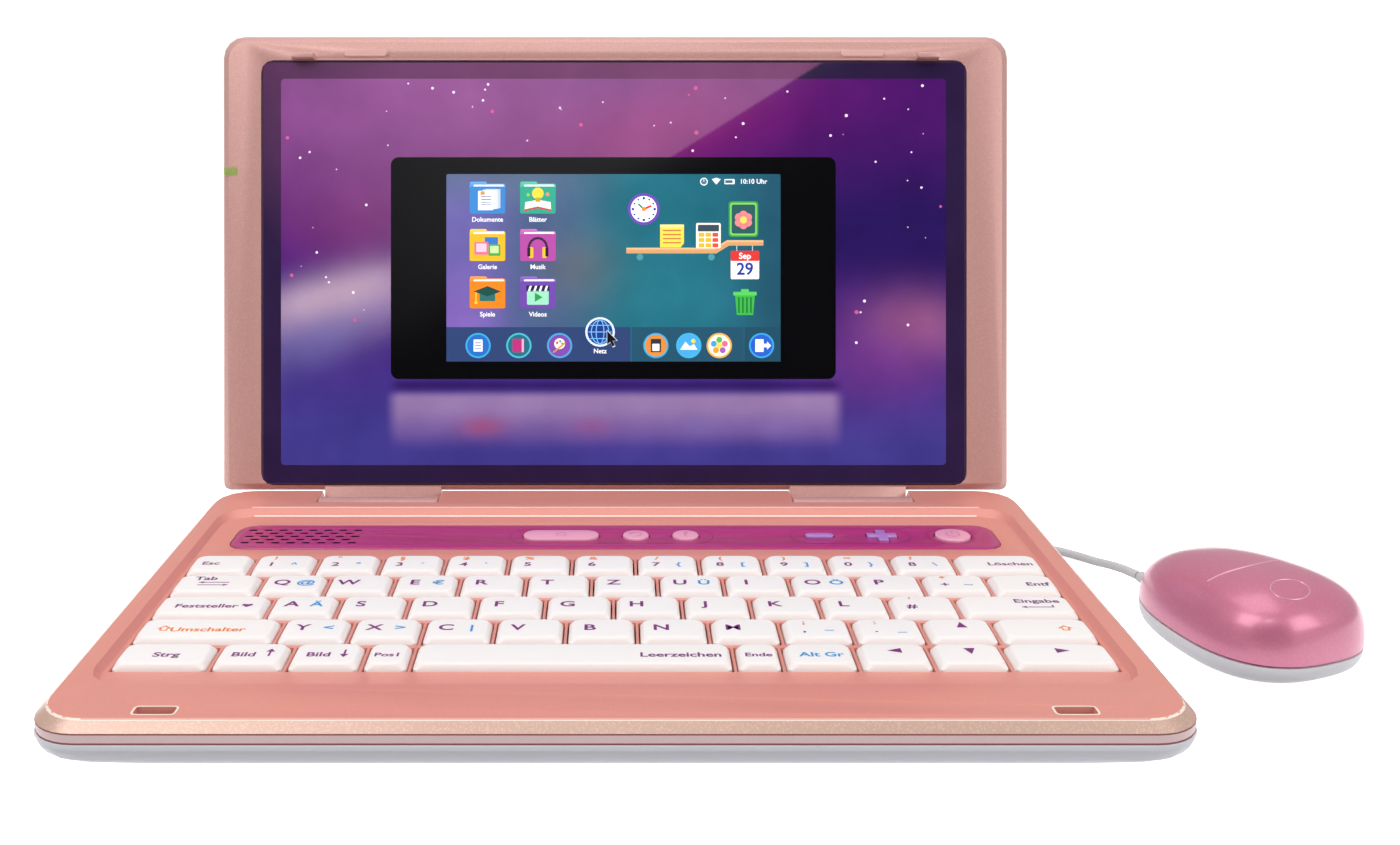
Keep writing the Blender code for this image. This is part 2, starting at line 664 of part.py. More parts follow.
def build_mouse():
    stand = bpy.data.objects.new("mouse_stand", None)
    bpy.context.collection.objects.link(stand)
    stand.location = (MOUSE_CENTRE[0], MOUSE_CENTRE[1], FLOOR_Z)
    stand.rotation_euler = (0.0, 0.0, MOUSE_TURN)

    parts = []
    bottom = loft("mouse_bottom_cover",
                  [(egg(0.86), 0.0), (egg(0.93), 0.0009), (egg(0.985), 0.0028),
                   (egg(1.0), MOUSE_SEAM_Z)],
                  "white_shell", smooth=True)
    parts.append(bottom)
    parts.append(cutter("mouse_floor", [[(egg(0.86), 0.0018), (egg(0.92), 0.0072)]]))
    boolean(bottom, parts[-1])
    parts.append(cutter("mouse_sensor_hole", [box_sections(-0.006, 0.006, -0.004, 0.004,
                                                           -0.001, 0.003)]))
    boolean(bottom, parts[-1])
    top = loft("mouse_top_cover", mouse_crown(0.0), "mouse_pink", smooth=True)
    parts.append(top)
    hollow = mouse_crown(0.0018)
    hollow = [(hollow[0][0], hollow[0][1] - 0.002)] + hollow[1:]
    parts.append(cutter("mouse_hollow", [hollow]))
    boolean(top, parts[-1])
    parts.append(loft("mouse_board", box_sections(-0.0130, 0.0130, -0.0200, 0.0160,
                                                  0.0046, 0.0060), "board"))

    relief = loft_mesh("mouse_cord_relief", [[
        (circle(0.0024, steps=10), 0.0), (circle(0.0024, steps=10), 0.0020),
        (circle(0.0018, steps=10), 0.0080),
    ]])
    relief.transform(Matrix.Translation((0.0, MOUSE_LENGTH / 2 + GAP, 0.0052))
                     @ Matrix.Rotation(-math.pi / 2, 4, "X"))
    parts.append(add_object("mouse_cord_relief", relief, "cord_grey", smooth=True))
    for part in parts:
        part.parent = stand


# ---- cord --------------------------------------------------------------------------------
def smooth_points(points, step):
    """Points at an even step along a Catmull-Rom curve through the route's points."""
    ends = [2 * points[0] - points[1]] + points + [2 * points[-1] - points[-2]]
    fine = []
    for a, b, c, d in zip(ends, ends[1:], ends[2:], ends[3:]):
        for i in range(24):
            t = i / 24
            fine.append(0.5 * (2 * b + (c - a) * t + (2 * a - 5 * b + 4 * c - d) * t * t
                               + (3 * b - a - 3 * c + d) * t ** 3))
    fine.append(points[-1])
    total = sum((q - p).length for p, q in zip(fine, fine[1:]))
    count = max(2, round(total / step))
    out, walked, index = [fine[0]], 0.0, 0
    for n in range(1, count):
        goal = total * n / count
        while walked + (fine[index + 1] - fine[index]).length < goal:
            walked += (fine[index + 1] - fine[index]).length
            index += 1
        part = (goal - walked) / (fine[index + 1] - fine[index]).length
        out.append(fine[index].lerp(fine[index + 1], part))
    out.append(fine[-1])
    return out


def tube(name, route):
    points = smooth_points([Vector(p) for p in route], CORD_DIAMETER * 2.4)
    curve = bpy.data.curves.new(name, "CURVE")
    curve.dimensions = "3D"
    curve.bevel_depth = CORD_DIAMETER / 2
    curve.bevel_resolution = 2
    curve.use_fill_caps = True
    spline = curve.splines.new("POLY")
    spline.points.add(len(points) - 1)
    for slot, point in zip(spline.points, points):
        slot.co = (*point, 1.0)
    curve.materials.append(material("cord_grey"))
    thing = bpy.data.objects.new(name, curve)
    bpy.context.collection.objects.link(thing)
    return thing


LEAD_ROUTE = [
    (0.1000, 0.0976, 0.0090), (0.1000, 0.1010, 0.0088), (0.0998, 0.1052, 0.0076),
    (0.0992, 0.1092, 0.0050), (0.0981, 0.1130, 0.0026), (0.0965, 0.1168, CORD_REST_Z + 0.0006),
    (0.0947, 0.1205, CORD_REST_Z), (0.0938, 0.1240, CORD_REST_Z),
]
MOUSE_ROUTE = [
    (0.0740, 0.1002, CORD_REST_Z), (0.0860, 0.0998, CORD_REST_Z),
    (0.1000, 0.0992, CORD_REST_Z), (0.1150, 0.0988, CORD_REST_Z),
    (0.1290, 0.0973, CORD_REST_Z), (0.1410, 0.0944, CORD_REST_Z),
    (0.1500, 0.0902, CORD_REST_Z), (0.1560, 0.0838, CORD_REST_Z + 0.0002),
    (0.1594, 0.0767, CORD_REST_Z + 0.0010), (0.1616, 0.0700, CORD_REST_Z + 0.0024),
    (0.1638, 0.0633, 0.0034), (0.1661, 0.0571, 0.0037),
]


def build_cord():
    tube("cord_lead", LEAD_ROUTE)
    tube("cord_to_mouse", MOUSE_ROUTE)
    inner = COIL_RADIUS - CORD_DIAMETER * COIL_ROWS / 2
    height = CORD_DIAMETER * COIL_LAYERS
    ring = loft("cord_coil", [(circle(COIL_OUTER, COIL_CENTRE, 28), FLOOR_Z + 0.0001),
                              (circle(COIL_OUTER, COIL_CENTRE, 28), FLOOR_Z + 0.0001 + height)],
                "cord_grey", smooth=True)
    hole = cutter("coil_eye", [[(circle(inner, COIL_CENTRE, 24), FLOOR_Z - 0.002),
                                (circle(inner, COIL_CENTRE, 24), FLOOR_Z + 0.002 + height)]])
    boolean(ring, hole)
    relief = loft_mesh("cord_relief", [[
        (circle(0.0033, steps=12), 0.0), (circle(0.0033, steps=12), 0.0060),
        (circle(0.0045, steps=12), 0.0060), (circle(0.0045, steps=12), 0.0075),
        (circle(0.0030, steps=12), 0.0078), (circle(0.0019, steps=12), 0.0183),
    ]])
    relief.transform(Matrix.Translation((RELIEF_X, 0.0790, RELIEF_Z))
                     @ Matrix.Rotation(-math.pi / 2, 4, "X"))
    add_object("cord_relief", relief, "cord_grey", smooth=True)


def main():
    clear_scene()
    notches = hinge_notches()
    build_base_top(notches)
    build_base_bottom(notches)
    build_feet()
    build_power()
    build_electronics()
    build_strip()
    build_buttons()
    build_keys()
    build_lid()
    build_mouse()
    build_cord()


main()
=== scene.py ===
"""Looks of a toy laptop computer with a corded mouse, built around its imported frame."""
import json
import logging
import math
from dataclasses import dataclass
from enum import Enum

import bmesh
import bpy
import numpy as np
from mathutils import Matrix, Vector


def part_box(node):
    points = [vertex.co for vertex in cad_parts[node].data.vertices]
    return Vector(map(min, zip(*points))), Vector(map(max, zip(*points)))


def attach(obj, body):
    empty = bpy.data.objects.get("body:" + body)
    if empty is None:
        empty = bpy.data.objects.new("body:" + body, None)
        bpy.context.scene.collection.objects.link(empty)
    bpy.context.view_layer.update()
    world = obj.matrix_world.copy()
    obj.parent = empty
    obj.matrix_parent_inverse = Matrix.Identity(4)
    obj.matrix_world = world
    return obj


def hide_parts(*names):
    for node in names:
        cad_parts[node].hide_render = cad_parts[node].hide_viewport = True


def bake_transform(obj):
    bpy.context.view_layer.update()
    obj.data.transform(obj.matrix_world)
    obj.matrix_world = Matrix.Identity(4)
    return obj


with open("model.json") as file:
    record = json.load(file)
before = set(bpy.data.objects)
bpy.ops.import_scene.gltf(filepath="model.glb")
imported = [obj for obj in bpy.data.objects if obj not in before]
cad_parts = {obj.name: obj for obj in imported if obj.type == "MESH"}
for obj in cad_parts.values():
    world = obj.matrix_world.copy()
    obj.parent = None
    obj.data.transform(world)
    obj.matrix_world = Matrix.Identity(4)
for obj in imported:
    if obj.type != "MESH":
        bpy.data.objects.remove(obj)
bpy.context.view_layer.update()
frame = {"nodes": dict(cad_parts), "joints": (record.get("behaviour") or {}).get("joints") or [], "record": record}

LOG = logging.getLogger("toy_laptop")
MM = 0.001

# Places taken from the frame.
FLOOR_Z = min(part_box("rubber_foot_1")[0].z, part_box("mouse_bottom_cover")[0].z)
DECK_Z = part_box("base_top_cover")[1].z
KEY_TOP_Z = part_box("space_key")[1].z
STRIP_LOW, STRIP_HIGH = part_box("control_strip")
STRIP_Y = (STRIP_LOW.y + STRIP_HIGH.y) / 2
HINGE = next(joint for joint in frame["joints"] if joint["name"] == "lid_hinge")
HINGE_AXIS = Vector(HINGE["pos_m"])
LID_LEAN = math.radians(180.0 - 105.17)
LID_PLACE = Matrix.Translation(HINGE_AXIS) @ Matrix.Rotation(LID_LEAN, 4, "X")
LID_FACE = -7.1 * MM
CORD_DIAMETER = 2.8 * MM


def linear(code: str) -> tuple[float, float, float]:
    """Turn a six-digit sRGB colour code into linear red, green and blue."""
    parts = [int(code[i:i + 2], 16) / 255 for i in (0, 2, 4)]
    return tuple(p / 12.92 if p <= 0.04045 else ((p + 0.055) / 1.055) ** 2.4 for p in parts)


# ---- shader groups -----------------------------------------------------------------------
class Nodes:
    """Short calls that add and join nodes in one tree."""

    def __init__(self, tree: bpy.types.NodeTree) -> None:
        """Keep the tree that the nodes go into."""
        self.tree = tree

    def add(self, kind: str, **settings: object) -> bpy.types.Node:
        """Add a node and set its properties.

        Args:
            kind: The node's type name.
            settings: Properties to set on it.
        Returns:
            The new node.
        """
        node = self.tree.nodes.new(kind)
        for key, value in settings.items():
            setattr(node, key, value)
        return node

    def join(self, source: bpy.types.NodeSocket, target: bpy.types.NodeSocket) -> None:
        """Link two sockets."""
        self.tree.links.new(source, target)

    def math(self, operation: str, first: object, second: object = None) -> bpy.types.NodeSocket:
        """Add a Math node on sockets or numbers and return its result socket."""
        node = self.add("ShaderNodeMath", operation=operation)
        for socket, value in zip(node.inputs, (first, second)):
            if isinstance(value, (int, float)):
                socket.default_value = value
            elif value is not None:
                self.join(value, socket)
        return node.outputs[0]


def moulded_group() -> bpy.types.NodeTree:
    """Build the group for moulded plastic: cloudy tint, mould grain and pearl flakes.

    Returns:
        The shader node group.
    """
    found = bpy.data.node_groups.get("Moulded Plastic")
    if found:
        return found
    tree = bpy.data.node_groups.new("Moulded Plastic", "ShaderNodeTree")
    face = tree.interface
    for name, kind in (("Color", "NodeSocketColor"), ("Tint", "NodeSocketColor"),
                       ("Cloud Scale", "NodeSocketFloat"), ("Cloud Amount", "NodeSocketFloat"),
                       ("Grain Scale", "NodeSocketFloat"), ("Flake Amount", "NodeSocketFloat")):
        face.new_socket(name, in_out="INPUT", socket_type=kind)
    for name, kind in (("Color", "NodeSocketColor"), ("Height", "NodeSocketFloat")):
        face.new_socket(name, in_out="OUTPUT", socket_type=kind)
    kit = Nodes(tree)
    given, out = kit.add("NodeGroupInput"), kit.add("NodeGroupOutput")
    place = kit.add("ShaderNodeTexCoord")
    cloud = kit.add("ShaderNodeTexNoise")
    cloud.inputs["Detail"].default_value = 4.0
    kit.join(place.outputs["Object"], cloud.inputs["Vector"])
    kit.join(given.outputs["Cloud Scale"], cloud.inputs["Scale"])
    blend = kit.add("ShaderNodeMix", data_type="RGBA")
    kit.join(kit.math("MULTIPLY", cloud.outputs["Fac"], given.outputs["Cloud Amount"]),
             blend.inputs["Factor"])
    kit.join(given.outputs["Color"], blend.inputs["A"])
    kit.join(given.outputs["Tint"], blend.inputs["B"])
    grain = kit.add("ShaderNodeTexNoise")
    grain.inputs["Detail"].default_value = 2.0
    kit.join(place.outputs["Object"], grain.inputs["Vector"])
    kit.join(given.outputs["Grain Scale"], grain.inputs["Scale"])
    flakes = kit.add("ShaderNodeTexVoronoi")
    kit.join(place.outputs["Object"], flakes.inputs["Vector"])
    kit.join(kit.math("MULTIPLY", given.outputs["Grain Scale"], 1.6), flakes.inputs["Scale"])
    spark = kit.math("GREATER_THAN", flakes.outputs["Color"], 0.72)
    shine = kit.add("ShaderNodeMix", data_type="RGBA", blend_type="ADD")
    kit.join(kit.math("MULTIPLY", spark, given.outputs["Flake Amount"]), shine.inputs["Factor"])
    kit.join(blend.outputs["Result"], shine.inputs["A"])
    shine.inputs["B"].default_value = (0.30, 0.24, 0.22, 1.0)
    kit.join(shine.outputs["Result"], out.inputs["Color"])
    kit.join(grain.outputs["Fac"], out.inputs["Height"])
    return tree


def backlit_group() -> bpy.types.NodeTree:
    """Build the group for a lit display: a colour with a fine grid of dots over it.

    Returns:
        The shader node group.
    """
    found = bpy.data.node_groups.get("Backlit Dots")
    if found:
        return found
    tree = bpy.data.node_groups.new("Backlit Dots", "ShaderNodeTree")
    tree.interface.new_socket("Color", in_out="INPUT", socket_type="NodeSocketColor")
    tree.interface.new_socket("Pitch", in_out="INPUT", socket_type="NodeSocketFloat")
    tree.interface.new_socket("Color", in_out="OUTPUT", socket_type="NodeSocketColor")
    kit = Nodes(tree)
    given, out = kit.add("NodeGroupInput"), kit.add("NodeGroupOutput")
    place = kit.add("ShaderNodeTexCoord")
    split = kit.add("ShaderNodeSeparateXYZ")
    kit.join(place.outputs["Object"], split.inputs[0])
    lines = []
    for axis in ("X", "Z"):
        step = kit.math("FRACT", kit.math("DIVIDE", split.outputs[axis], given.outputs["Pitch"]))
        lines.append(kit.math("LESS_THAN", step, 0.16))
    grid = kit.math("MAXIMUM", lines[0], lines[1])
    mix = kit.add("ShaderNodeMix", data_type="RGBA", blend_type="MULTIPLY")
    kit.join(kit.math("MULTIPLY", grid, 0.30), mix.inputs["Factor"])
    kit.join(given.outputs["Color"], mix.inputs["A"])
    mix.inputs["B"].default_value = (0.25, 0.25, 0.30, 1.0)
    kit.join(mix.outputs["Result"], out.inputs["Color"])
    return tree


# ---- finishes ----------------------------------------------------------------------------
@dataclass(frozen=True)
class Dress:
    """What a piece wears: one material, built the first time it is asked for."""

    name: str

    def material(self) -> bpy.types.Material:
        """Return the material."""
        made = bpy.data.materials.get(self.name)
        if made is None:
            made = bpy.data.materials.new(self.name)
            made.use_nodes = True
            self.wire(Nodes(made.node_tree), made.node_tree.nodes["Principled BSDF"])
        return made

    def wire(self, kit: Nodes, shader: bpy.types.Node) -> None:
        """Join the nodes of this kind of material to its shader."""
        raise NotImplementedError


@dataclass(frozen=True)
class Finish(Dress):
    """A moulded finish: its colours, gloss, grain and flakes."""

    color: str
    tint: str
    roughness: float
    metallic: float = 0.0
    coat: float = 0.0
    cloud: float = 40.0
    cloud_amount: float = 0.35
    grain: float = 2600.0
    flake: float = 0.0
    bump: float = 0.04
    glow: float = 0.0

    def wire(self, kit: Nodes, shader: bpy.types.Node) -> None:
        """Join the nodes to the shader."""
        surface = kit.add("ShaderNodeGroup", node_tree=moulded_group())
        surface.inputs["Color"].default_value = (*linear(self.color), 1.0)
        surface.inputs["Tint"].default_value = (*linear(self.tint), 1.0)
        surface.inputs["Cloud Scale"].default_value = self.cloud
        surface.inputs["Cloud Amount"].default_value = self.cloud_amount
        surface.inputs["Grain Scale"].default_value = self.grain
        surface.inputs["Flake Amount"].default_value = self.flake
        kit.join(surface.outputs["Color"], shader.inputs["Base Color"])
        bump = kit.add("ShaderNodeBump")
        bump.inputs["Strength"].default_value = self.bump
        bump.inputs["Distance"].default_value = 0.0002
        kit.join(surface.outputs["Height"], bump.inputs["Height"])
        kit.join(bump.outputs["Normal"], shader.inputs["Normal"])
        shader.inputs["Roughness"].default_value = self.roughness
        shader.inputs["Metallic"].default_value = self.metallic
        shader.inputs["Coat Weight"].default_value = self.coat
        shader.inputs["Coat Roughness"].default_value = 0.12
        if self.glow:
            kit.join(surface.outputs["Color"], shader.inputs["Emission Color"])
            shader.inputs["Emission Strength"].default_value = self.glow


@dataclass(frozen=True)
class ScreenColour(Dress):
    """A flat colour of the lit display."""

    color: str
    glow: float = 0.55

    def wire(self, kit: Nodes, shader: bpy.types.Node) -> None:
        """Join the nodes to the shader."""
        lit = kit.add("ShaderNodeGroup", node_tree=backlit_group())
        lit.inputs["Color"].default_value = (*linear(self.color), 1.0)
        lit.inputs["Pitch"].default_value = 0.00023
        kit.join(lit.outputs["Color"], shader.inputs["Base Color"])
        kit.join(lit.outputs["Color"], shader.inputs["Emission Color"])
        shader.inputs["Emission Strength"].default_value = self.glow
        shader.inputs["Roughness"].default_value = 0.25


@dataclass(frozen=True)
class PaintedPrint(Dress):
    """A printed picture whose colours are held in the piece's own colour attribute."""

    glow: float = 0.0
    roughness: float = 0.12

    def wire(self, kit: Nodes, shader: bpy.types.Node) -> None:
        """Join the nodes to the shader."""
        paint = kit.add("ShaderNodeAttribute", attribute_name="print")
        place = kit.add("ShaderNodeTexCoord")
        mist = kit.add("ShaderNodeTexNoise")
        mist.inputs["Scale"].default_value = 55.0
        mist.inputs["Detail"].default_value = 6.0
        kit.join(place.outputs["Object"], mist.inputs["Vector"])
        mix = kit.add("ShaderNodeMix", data_type="RGBA", blend_type="SOFT_LIGHT")
        mix.inputs["Factor"].default_value = 0.35
        kit.join(paint.outputs["Color"], mix.inputs["A"])
        kit.join(mist.outputs["Fac"], mix.inputs["B"])
        kit.join(mix.outputs["Result"], shader.inputs["Base Color"])
        if self.glow:
            kit.join(mix.outputs["Result"], shader.inputs["Emission Color"])
            shader.inputs["Emission Strength"].default_value = self.glow
        shader.inputs["Roughness"].default_value = self.roughness
        shader.inputs["Coat Weight"].default_value = 0.6
        shader.inputs["Coat Roughness"].default_value = 0.05


@dataclass(frozen=True)
class CardGlow(Dress):
    """A lit card whose light fades towards its lower left corner."""

    strength: float = 0.42

    def wire(self, kit: Nodes, shader: bpy.types.Node) -> None:
        """Join the nodes to the shader."""
        place, split = kit.add("ShaderNodeTexCoord"), kit.add("ShaderNodeSeparateXYZ")
        kit.join(place.outputs["Object"], split.inputs[0])
        height = kit.math("MULTIPLY", split.outputs["Z"], 0.27)
        run = kit.math("ADD", kit.math("MULTIPLY", split.outputs["X"], 0.333), height)
        fade = kit.math("EXPONENT", kit.math("MULTIPLY", kit.math("ADD", run, -0.015), -11.0))
        level = kit.math("MAXIMUM", kit.math("SUBTRACT", 1.0, fade), 0.0)
        kit.join(level, shader.inputs["Emission Color"])
        shader.inputs["Emission Strength"].default_value = self.strength
        shader.inputs["Base Color"].default_value = (0.01, 0.01, 0.01, 1.0)
        shader.inputs["Roughness"].default_value = 0.9


ROSE_SHELL = Finish("rose shell", "E29284", "E0968A", 0.42, 0.10, 0.10, flake=0.08)
ROSE_LID = Finish("rose lid", "CE9B93", "D8A9A2", 0.40, 0.20, 0.20, grain=3200, flake=0.25)
WHITE_SHELL = Finish("white shell", "DDDDE6", "E6E6EC", 0.42)
MOUSE_WHITE = Finish("mouse white", "E2DFE4", "EAE8EC", 0.36)
MAGENTA = Finish("magenta strip", "AE2A70", "B43478", 0.30, coat=0.15, flake=0.03)
# A darker magenta for the recess lines: painted shade.
MAGENTA_GROOVE_SHADE = Finish("magenta groove shade", "7F1D55", "8E2560", 0.30)
KEY_WHITE = Finish("key white", "F6F2F0", "ECE5E3", 0.42, cloud_amount=0.2, bump=0.03)
BUTTON_PINK = Finish("button pink", "F0A8C2", "E892B2", 0.30, coat=0.4)
BUTTON_LILAC = Finish("button lilac", "B47FCB", "A66FBF", 0.30, coat=0.4)
SYMBOL_ROSE = Finish("button symbols", "D87FA6", "CC6F98", 0.35)
# The border print carries a painted diagonal reflection in its upper left.
BORDER_PRINT_AND_REFLECTION = PaintedPrint("border print", 0.0, 0.10)
WINDOW_BORDER = Finish("window border", "372449", "402A55", 0.10, coat=0.8, bump=0.0)
# The sky print glows by emission and carries a painted diagonal reflection: painted light on a printed pane.
SKY_PRINT_GLOW_AND_REFLECTION = PaintedPrint("night sky print", 0.10, 0.10)
# The printed rose stars glow by emission: painted light.
STAR_ROSE = Finish("star rose", "C8508E", "D870A8", 0.4, glow=0.3)
PAD_ROSE = Finish("pad rose", "E3B0A8", "EBC0B8", 0.45)
INLAY_GREEN = Finish("inlay green", "8FAE4A", "A8C060", 0.40)
# The printed white stars glow by emission: painted light.
STAR_WHITE = Finish("star white", "F3DDF2", "CFC6F4", 0.4, glow=0.5)
DISPLAY_BLACK = Finish("display black", "06060A", "0C0C12", 0.12, coat=0.6, bump=0.01)
DISPLAY_LIT = PaintedPrint("display picture", 0.40, 0.14)
LEGEND_PURPLE = Finish("legend purple", "7D1C78", "6E1869", 0.45)
LEGEND_ORANGE = Finish("legend orange", "F08010", "E47408", 0.45)
LEGEND_BLUE = Finish("legend blue", "1E98DA", "168CCC", 0.45)
STEEL = Finish("plated steel", "B9BABD", "A4A6AA", 0.28, 1.0)
RUBBER = Finish("black rubber", "222226", "2C2C30", 0.80, bump=0.12)
BOARD = Finish("circuit board", "1E6E3A", "15562C", 0.50)
FILM = Finish("membrane film", "C9CED2", "B8BEC4", 0.45)
CELL = Finish("battery wrap", "2A2A30", "3A3A42", 0.30, 0.4)
# Dark cloth under the grille; on the slot walls the same dark is painted shade.
GRILLE_CLOTH_AND_SLOT_SHADE = Finish("grille dark", "2A0618", "350A20", 0.60)
# Champagne is the chamfer's own colour; on the slope behind the keys the same finish is a painted highlight.
CHAMPAGNE_AND_SLOPE_HIGHLIGHT = Finish("champagne edge and slope highlight", "CDA898", "DDBBAB", 0.38, 0.30, 0.10, flake=0.32, grain=2200.0)
PAINTED_SLOPE_HIGHLIGHT = Finish("painted slope highlight", "EFCFC0", "F6DCCF", 0.34, 0.20, 0.15, flake=0.2)
# Near-white lines along edges: painted highlights.
PAINTED_EDGE_HIGHLIGHT = Finish("painted edge highlight", "FBEADC", "F6DECD", 0.30, coat=0.3)
DUSTY_SKIRT = Finish("dusty skirt", "EBCBCD", "F0D4D6", 0.45, flake=0.10)
PAINTED_SEAM_SHADE = Finish("painted seam shade", "8C524C", "7A4440", 0.60)
MOUSE_PEARL = Finish("mouse pearl", "CE7391", "DC8CA6", 0.36, 0.30, 0.5, flake=0.12)
# A lighter pearl for the crease and badge ridges: a painted highlight.
MOUSE_RIDGE_HIGHLIGHT = Finish("mouse ridge highlight", "DFA0B8", "E8B4C6", 0.30, 0.25, 0.4)
CORD_GREY = Finish("cord grey", "D0CECF", "C2C0C2", 0.50, bump=0.10)
FLOOR_WHITE = Finish("floor white", "FBFBFC", "F6F6F8", 0.75, cloud=3.0, glow=0.80)
CARD_BLACK = Finish("card black", "020202", "040404", 0.9, bump=0.0)
CARD_LIT = CardGlow("card lit")


# ---- mesh helpers ------------------------------------------------------------------------
Point = tuple[float, float]


def new_piece(name: str, mesh: bpy.types.Mesh, body: str, finish: object,
              smooth: float | None = 40.0) -> bpy.types.Object:
    """Make a piece from a mesh, dress it and let it ride on a body.

    Args:
        name: The piece's name.
        mesh: Its mesh, with its place in it.
        body: The body it rides on, or an empty text for a piece that is not attached here.
        finish: What its material comes from.
        smooth: The angle in degrees past which an edge stays sharp, or None for flat faces.
    Returns:
        The piece.
    """
    piece = bpy.data.objects.new(name, mesh)
    bpy.context.scene.collection.objects.link(piece)
    mesh.materials.clear()
    mesh.materials.append(finish.material())
    if smooth is not None:
        mesh.shade_smooth()
        mesh.set_sharp_from_angle(angle=math.radians(smooth))
    if body:
        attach(piece, body)
    return piece


def rounded(half_x: float, half_y: float, radius: float, centre: Point = (0.0, 0.0),
            steps: int = 5) -> list[Point]:
    """Return the counter-clockwise outline of a rounded rectangle."""
    points = []
    for corner, (sx, sy) in enumerate(((1, 1), (-1, 1), (-1, -1), (1, -1))):
        cx, cy = centre[0] + sx * (half_x - radius), centre[1] + sy * (half_y - radius)
        for step in range(steps + 1):
            angle = math.pi / 2 * (corner + step / steps)
            points.append((cx + radius * math.cos(angle), cy + radius * math.sin(angle)))
    return points


def ring(radius: float, centre: Point = (0.0, 0.0), steps: int = 32) -> list[Point]:
    """Return the outline of a circle."""
    return rounded(radius, radius, radius * 0.9999, centre, steps // 4)


def mesh_of(name: str, work: bmesh.types.BMesh, place: Matrix | None = None) -> bpy.types.Mesh:
    """Turn gathered geometry into a mesh, put in its place."""
    mesh = bpy.data.meshes.new(name)
    work.to_mesh(mesh)
    work.free()
    if place:
        mesh.transform(place)
    return mesh


def walls(work: bmesh.types.BMesh, low: list, high: list) -> None:
    """Add the ring of faces between two closed rows of points."""
    for i in range(len(low)):
        j = (i + 1) % len(low)
        work.faces.new((low[i], low[j], high[j], high[i]))


def through(before: Vector, a: Vector, b: Vector, after: Vector, u: float) -> Vector:
    """Return a point between a and b on the smooth curve through four points."""
    return 0.5 * (2 * a + (b - before) * u + (2 * before - 5 * a + 4 * b - after) * u * u
                  + (3 * a - before - 3 * b + after) * u ** 3)


def loft(work: bmesh.types.BMesh, sections: list[tuple[list[Point], float]]) -> None:
    """Add a closed body through outlines at rising heights."""
    rows = [[work.verts.new((x, y, z)) for x, y in outline] for outline, z in sections]
    for low, high in zip(rows, rows[1:]):
        walls(work, low, high)
    work.faces.new(list(reversed(rows[0])))
    work.faces.new(rows[-1])


def loft_mesh(name: str, bodies: list, place: Matrix | None = None) -> bpy.types.Mesh:
    """Return one mesh of one or more lofted bodies, put in its place."""
    work = bmesh.new()
    for sections in bodies:
        loft(work, sections)
    return mesh_of(name, work, place)


def body_of(node: str) -> str:
    """Return the name of the body that holds a CAD node."""
    groups = frame["record"]["behaviour"]["bodies"]
    return next(body for body, nodes in groups.items() if node in nodes)


def keep_shape(piece: bpy.types.Object) -> None:
    """Keep what a piece's modifiers make as its own plain mesh."""
    made = bpy.data.meshes.new_from_object(
        piece.evaluated_get(bpy.context.evaluated_depsgraph_get()))
    piece.modifiers.clear()
    piece.data = made


def refined(node: str, finish: object, bevel: float, angle: float = 28.0,
            segments: int = 2) -> bpy.types.Object:
    """Stand a softened copy in for a CAD node: merged, with its edges rounded.

    Args:
        node: The CAD node.
        finish: The copy's finish.
        bevel: The width of the rounded edges.
        angle: The least angle in degrees of an edge that is rounded.
        segments: The number of faces across each rounded edge.
    Returns:
        The new piece.
    """
    source = frame["nodes"][node]
    work = bmesh.new()
    work.from_mesh(source.data)
    bmesh.ops.remove_doubles(work, verts=work.verts, dist=2e-6)
    bmesh.ops.dissolve_limit(work, angle_limit=math.radians(0.6), verts=work.verts,
                             edges=work.edges)
    piece = new_piece(node + "_skin", mesh_of(node + "_skin", work), "", finish, smooth=None)
    step = piece.modifiers.new("edges", "BEVEL")
    step.width = bevel
    step.segments = segments
    step.limit_method = "ANGLE"
    step.angle_limit = math.radians(angle)
    keep_shape(piece)
    piece.data.shade_smooth()
    piece.data.set_sharp_from_angle(angle=math.radians(50))
    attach(piece, body_of(node))
    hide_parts(node)
    LOG.info("refined %s", node)
    return piece


def tube_mesh(name: str, path: list[Vector], radius: float, sides: int = 12) -> bpy.types.Mesh:
    """Sweep a round tube along a path, with both ends closed.

    Args:
        name: The mesh's name.
        path: The points of its middle line.
        radius: The tube's radius.
        sides: How many sides it has.
    Returns:
        The mesh.
    """
    work = bmesh.new()
    rows = []
    up = Vector((0.0, 0.0, 1.0))
    for index, point in enumerate(path):
        ahead = path[min(index + 1, len(path) - 1)] - path[max(index - 1, 0)]
        ahead.normalize()
        side = ahead.cross(up).normalized()
        top = side.cross(ahead).normalized()
        row = []
        for step in range(sides):
            turn = 2 * math.pi * step / sides
            row.append(work.verts.new(point + radius * (math.cos(turn) * side
                                                        + math.sin(turn) * top)))
        rows.append(row)
    for low, high in zip(rows, rows[1:]):
        walls(work, low, high)
    work.faces.new(list(reversed(rows[0])))
    work.faces.new(rows[-1])
    bmesh.ops.recalc_face_normals(work, faces=work.faces)
    return mesh_of(name, work)


def text_mesh(text: str, size: float, bold: float) -> bpy.types.Mesh:
    """Return flat lettering, centred on its middle, as a mesh."""
    curve = bpy.data.curves.new("lettering", "FONT")
    curve.body = text
    curve.size = size
    curve.align_x = "CENTER"
    curve.align_y = "CENTER"
    curve.offset = bold
    curve.resolution_u = 4
    holder = bpy.data.objects.new("lettering", curve)
    bpy.context.scene.collection.objects.link(holder)
    mesh = bpy.data.meshes.new_from_object(
        holder.evaluated_get(bpy.context.evaluated_depsgraph_get()))
    bpy.data.objects.remove(holder)
    return mesh


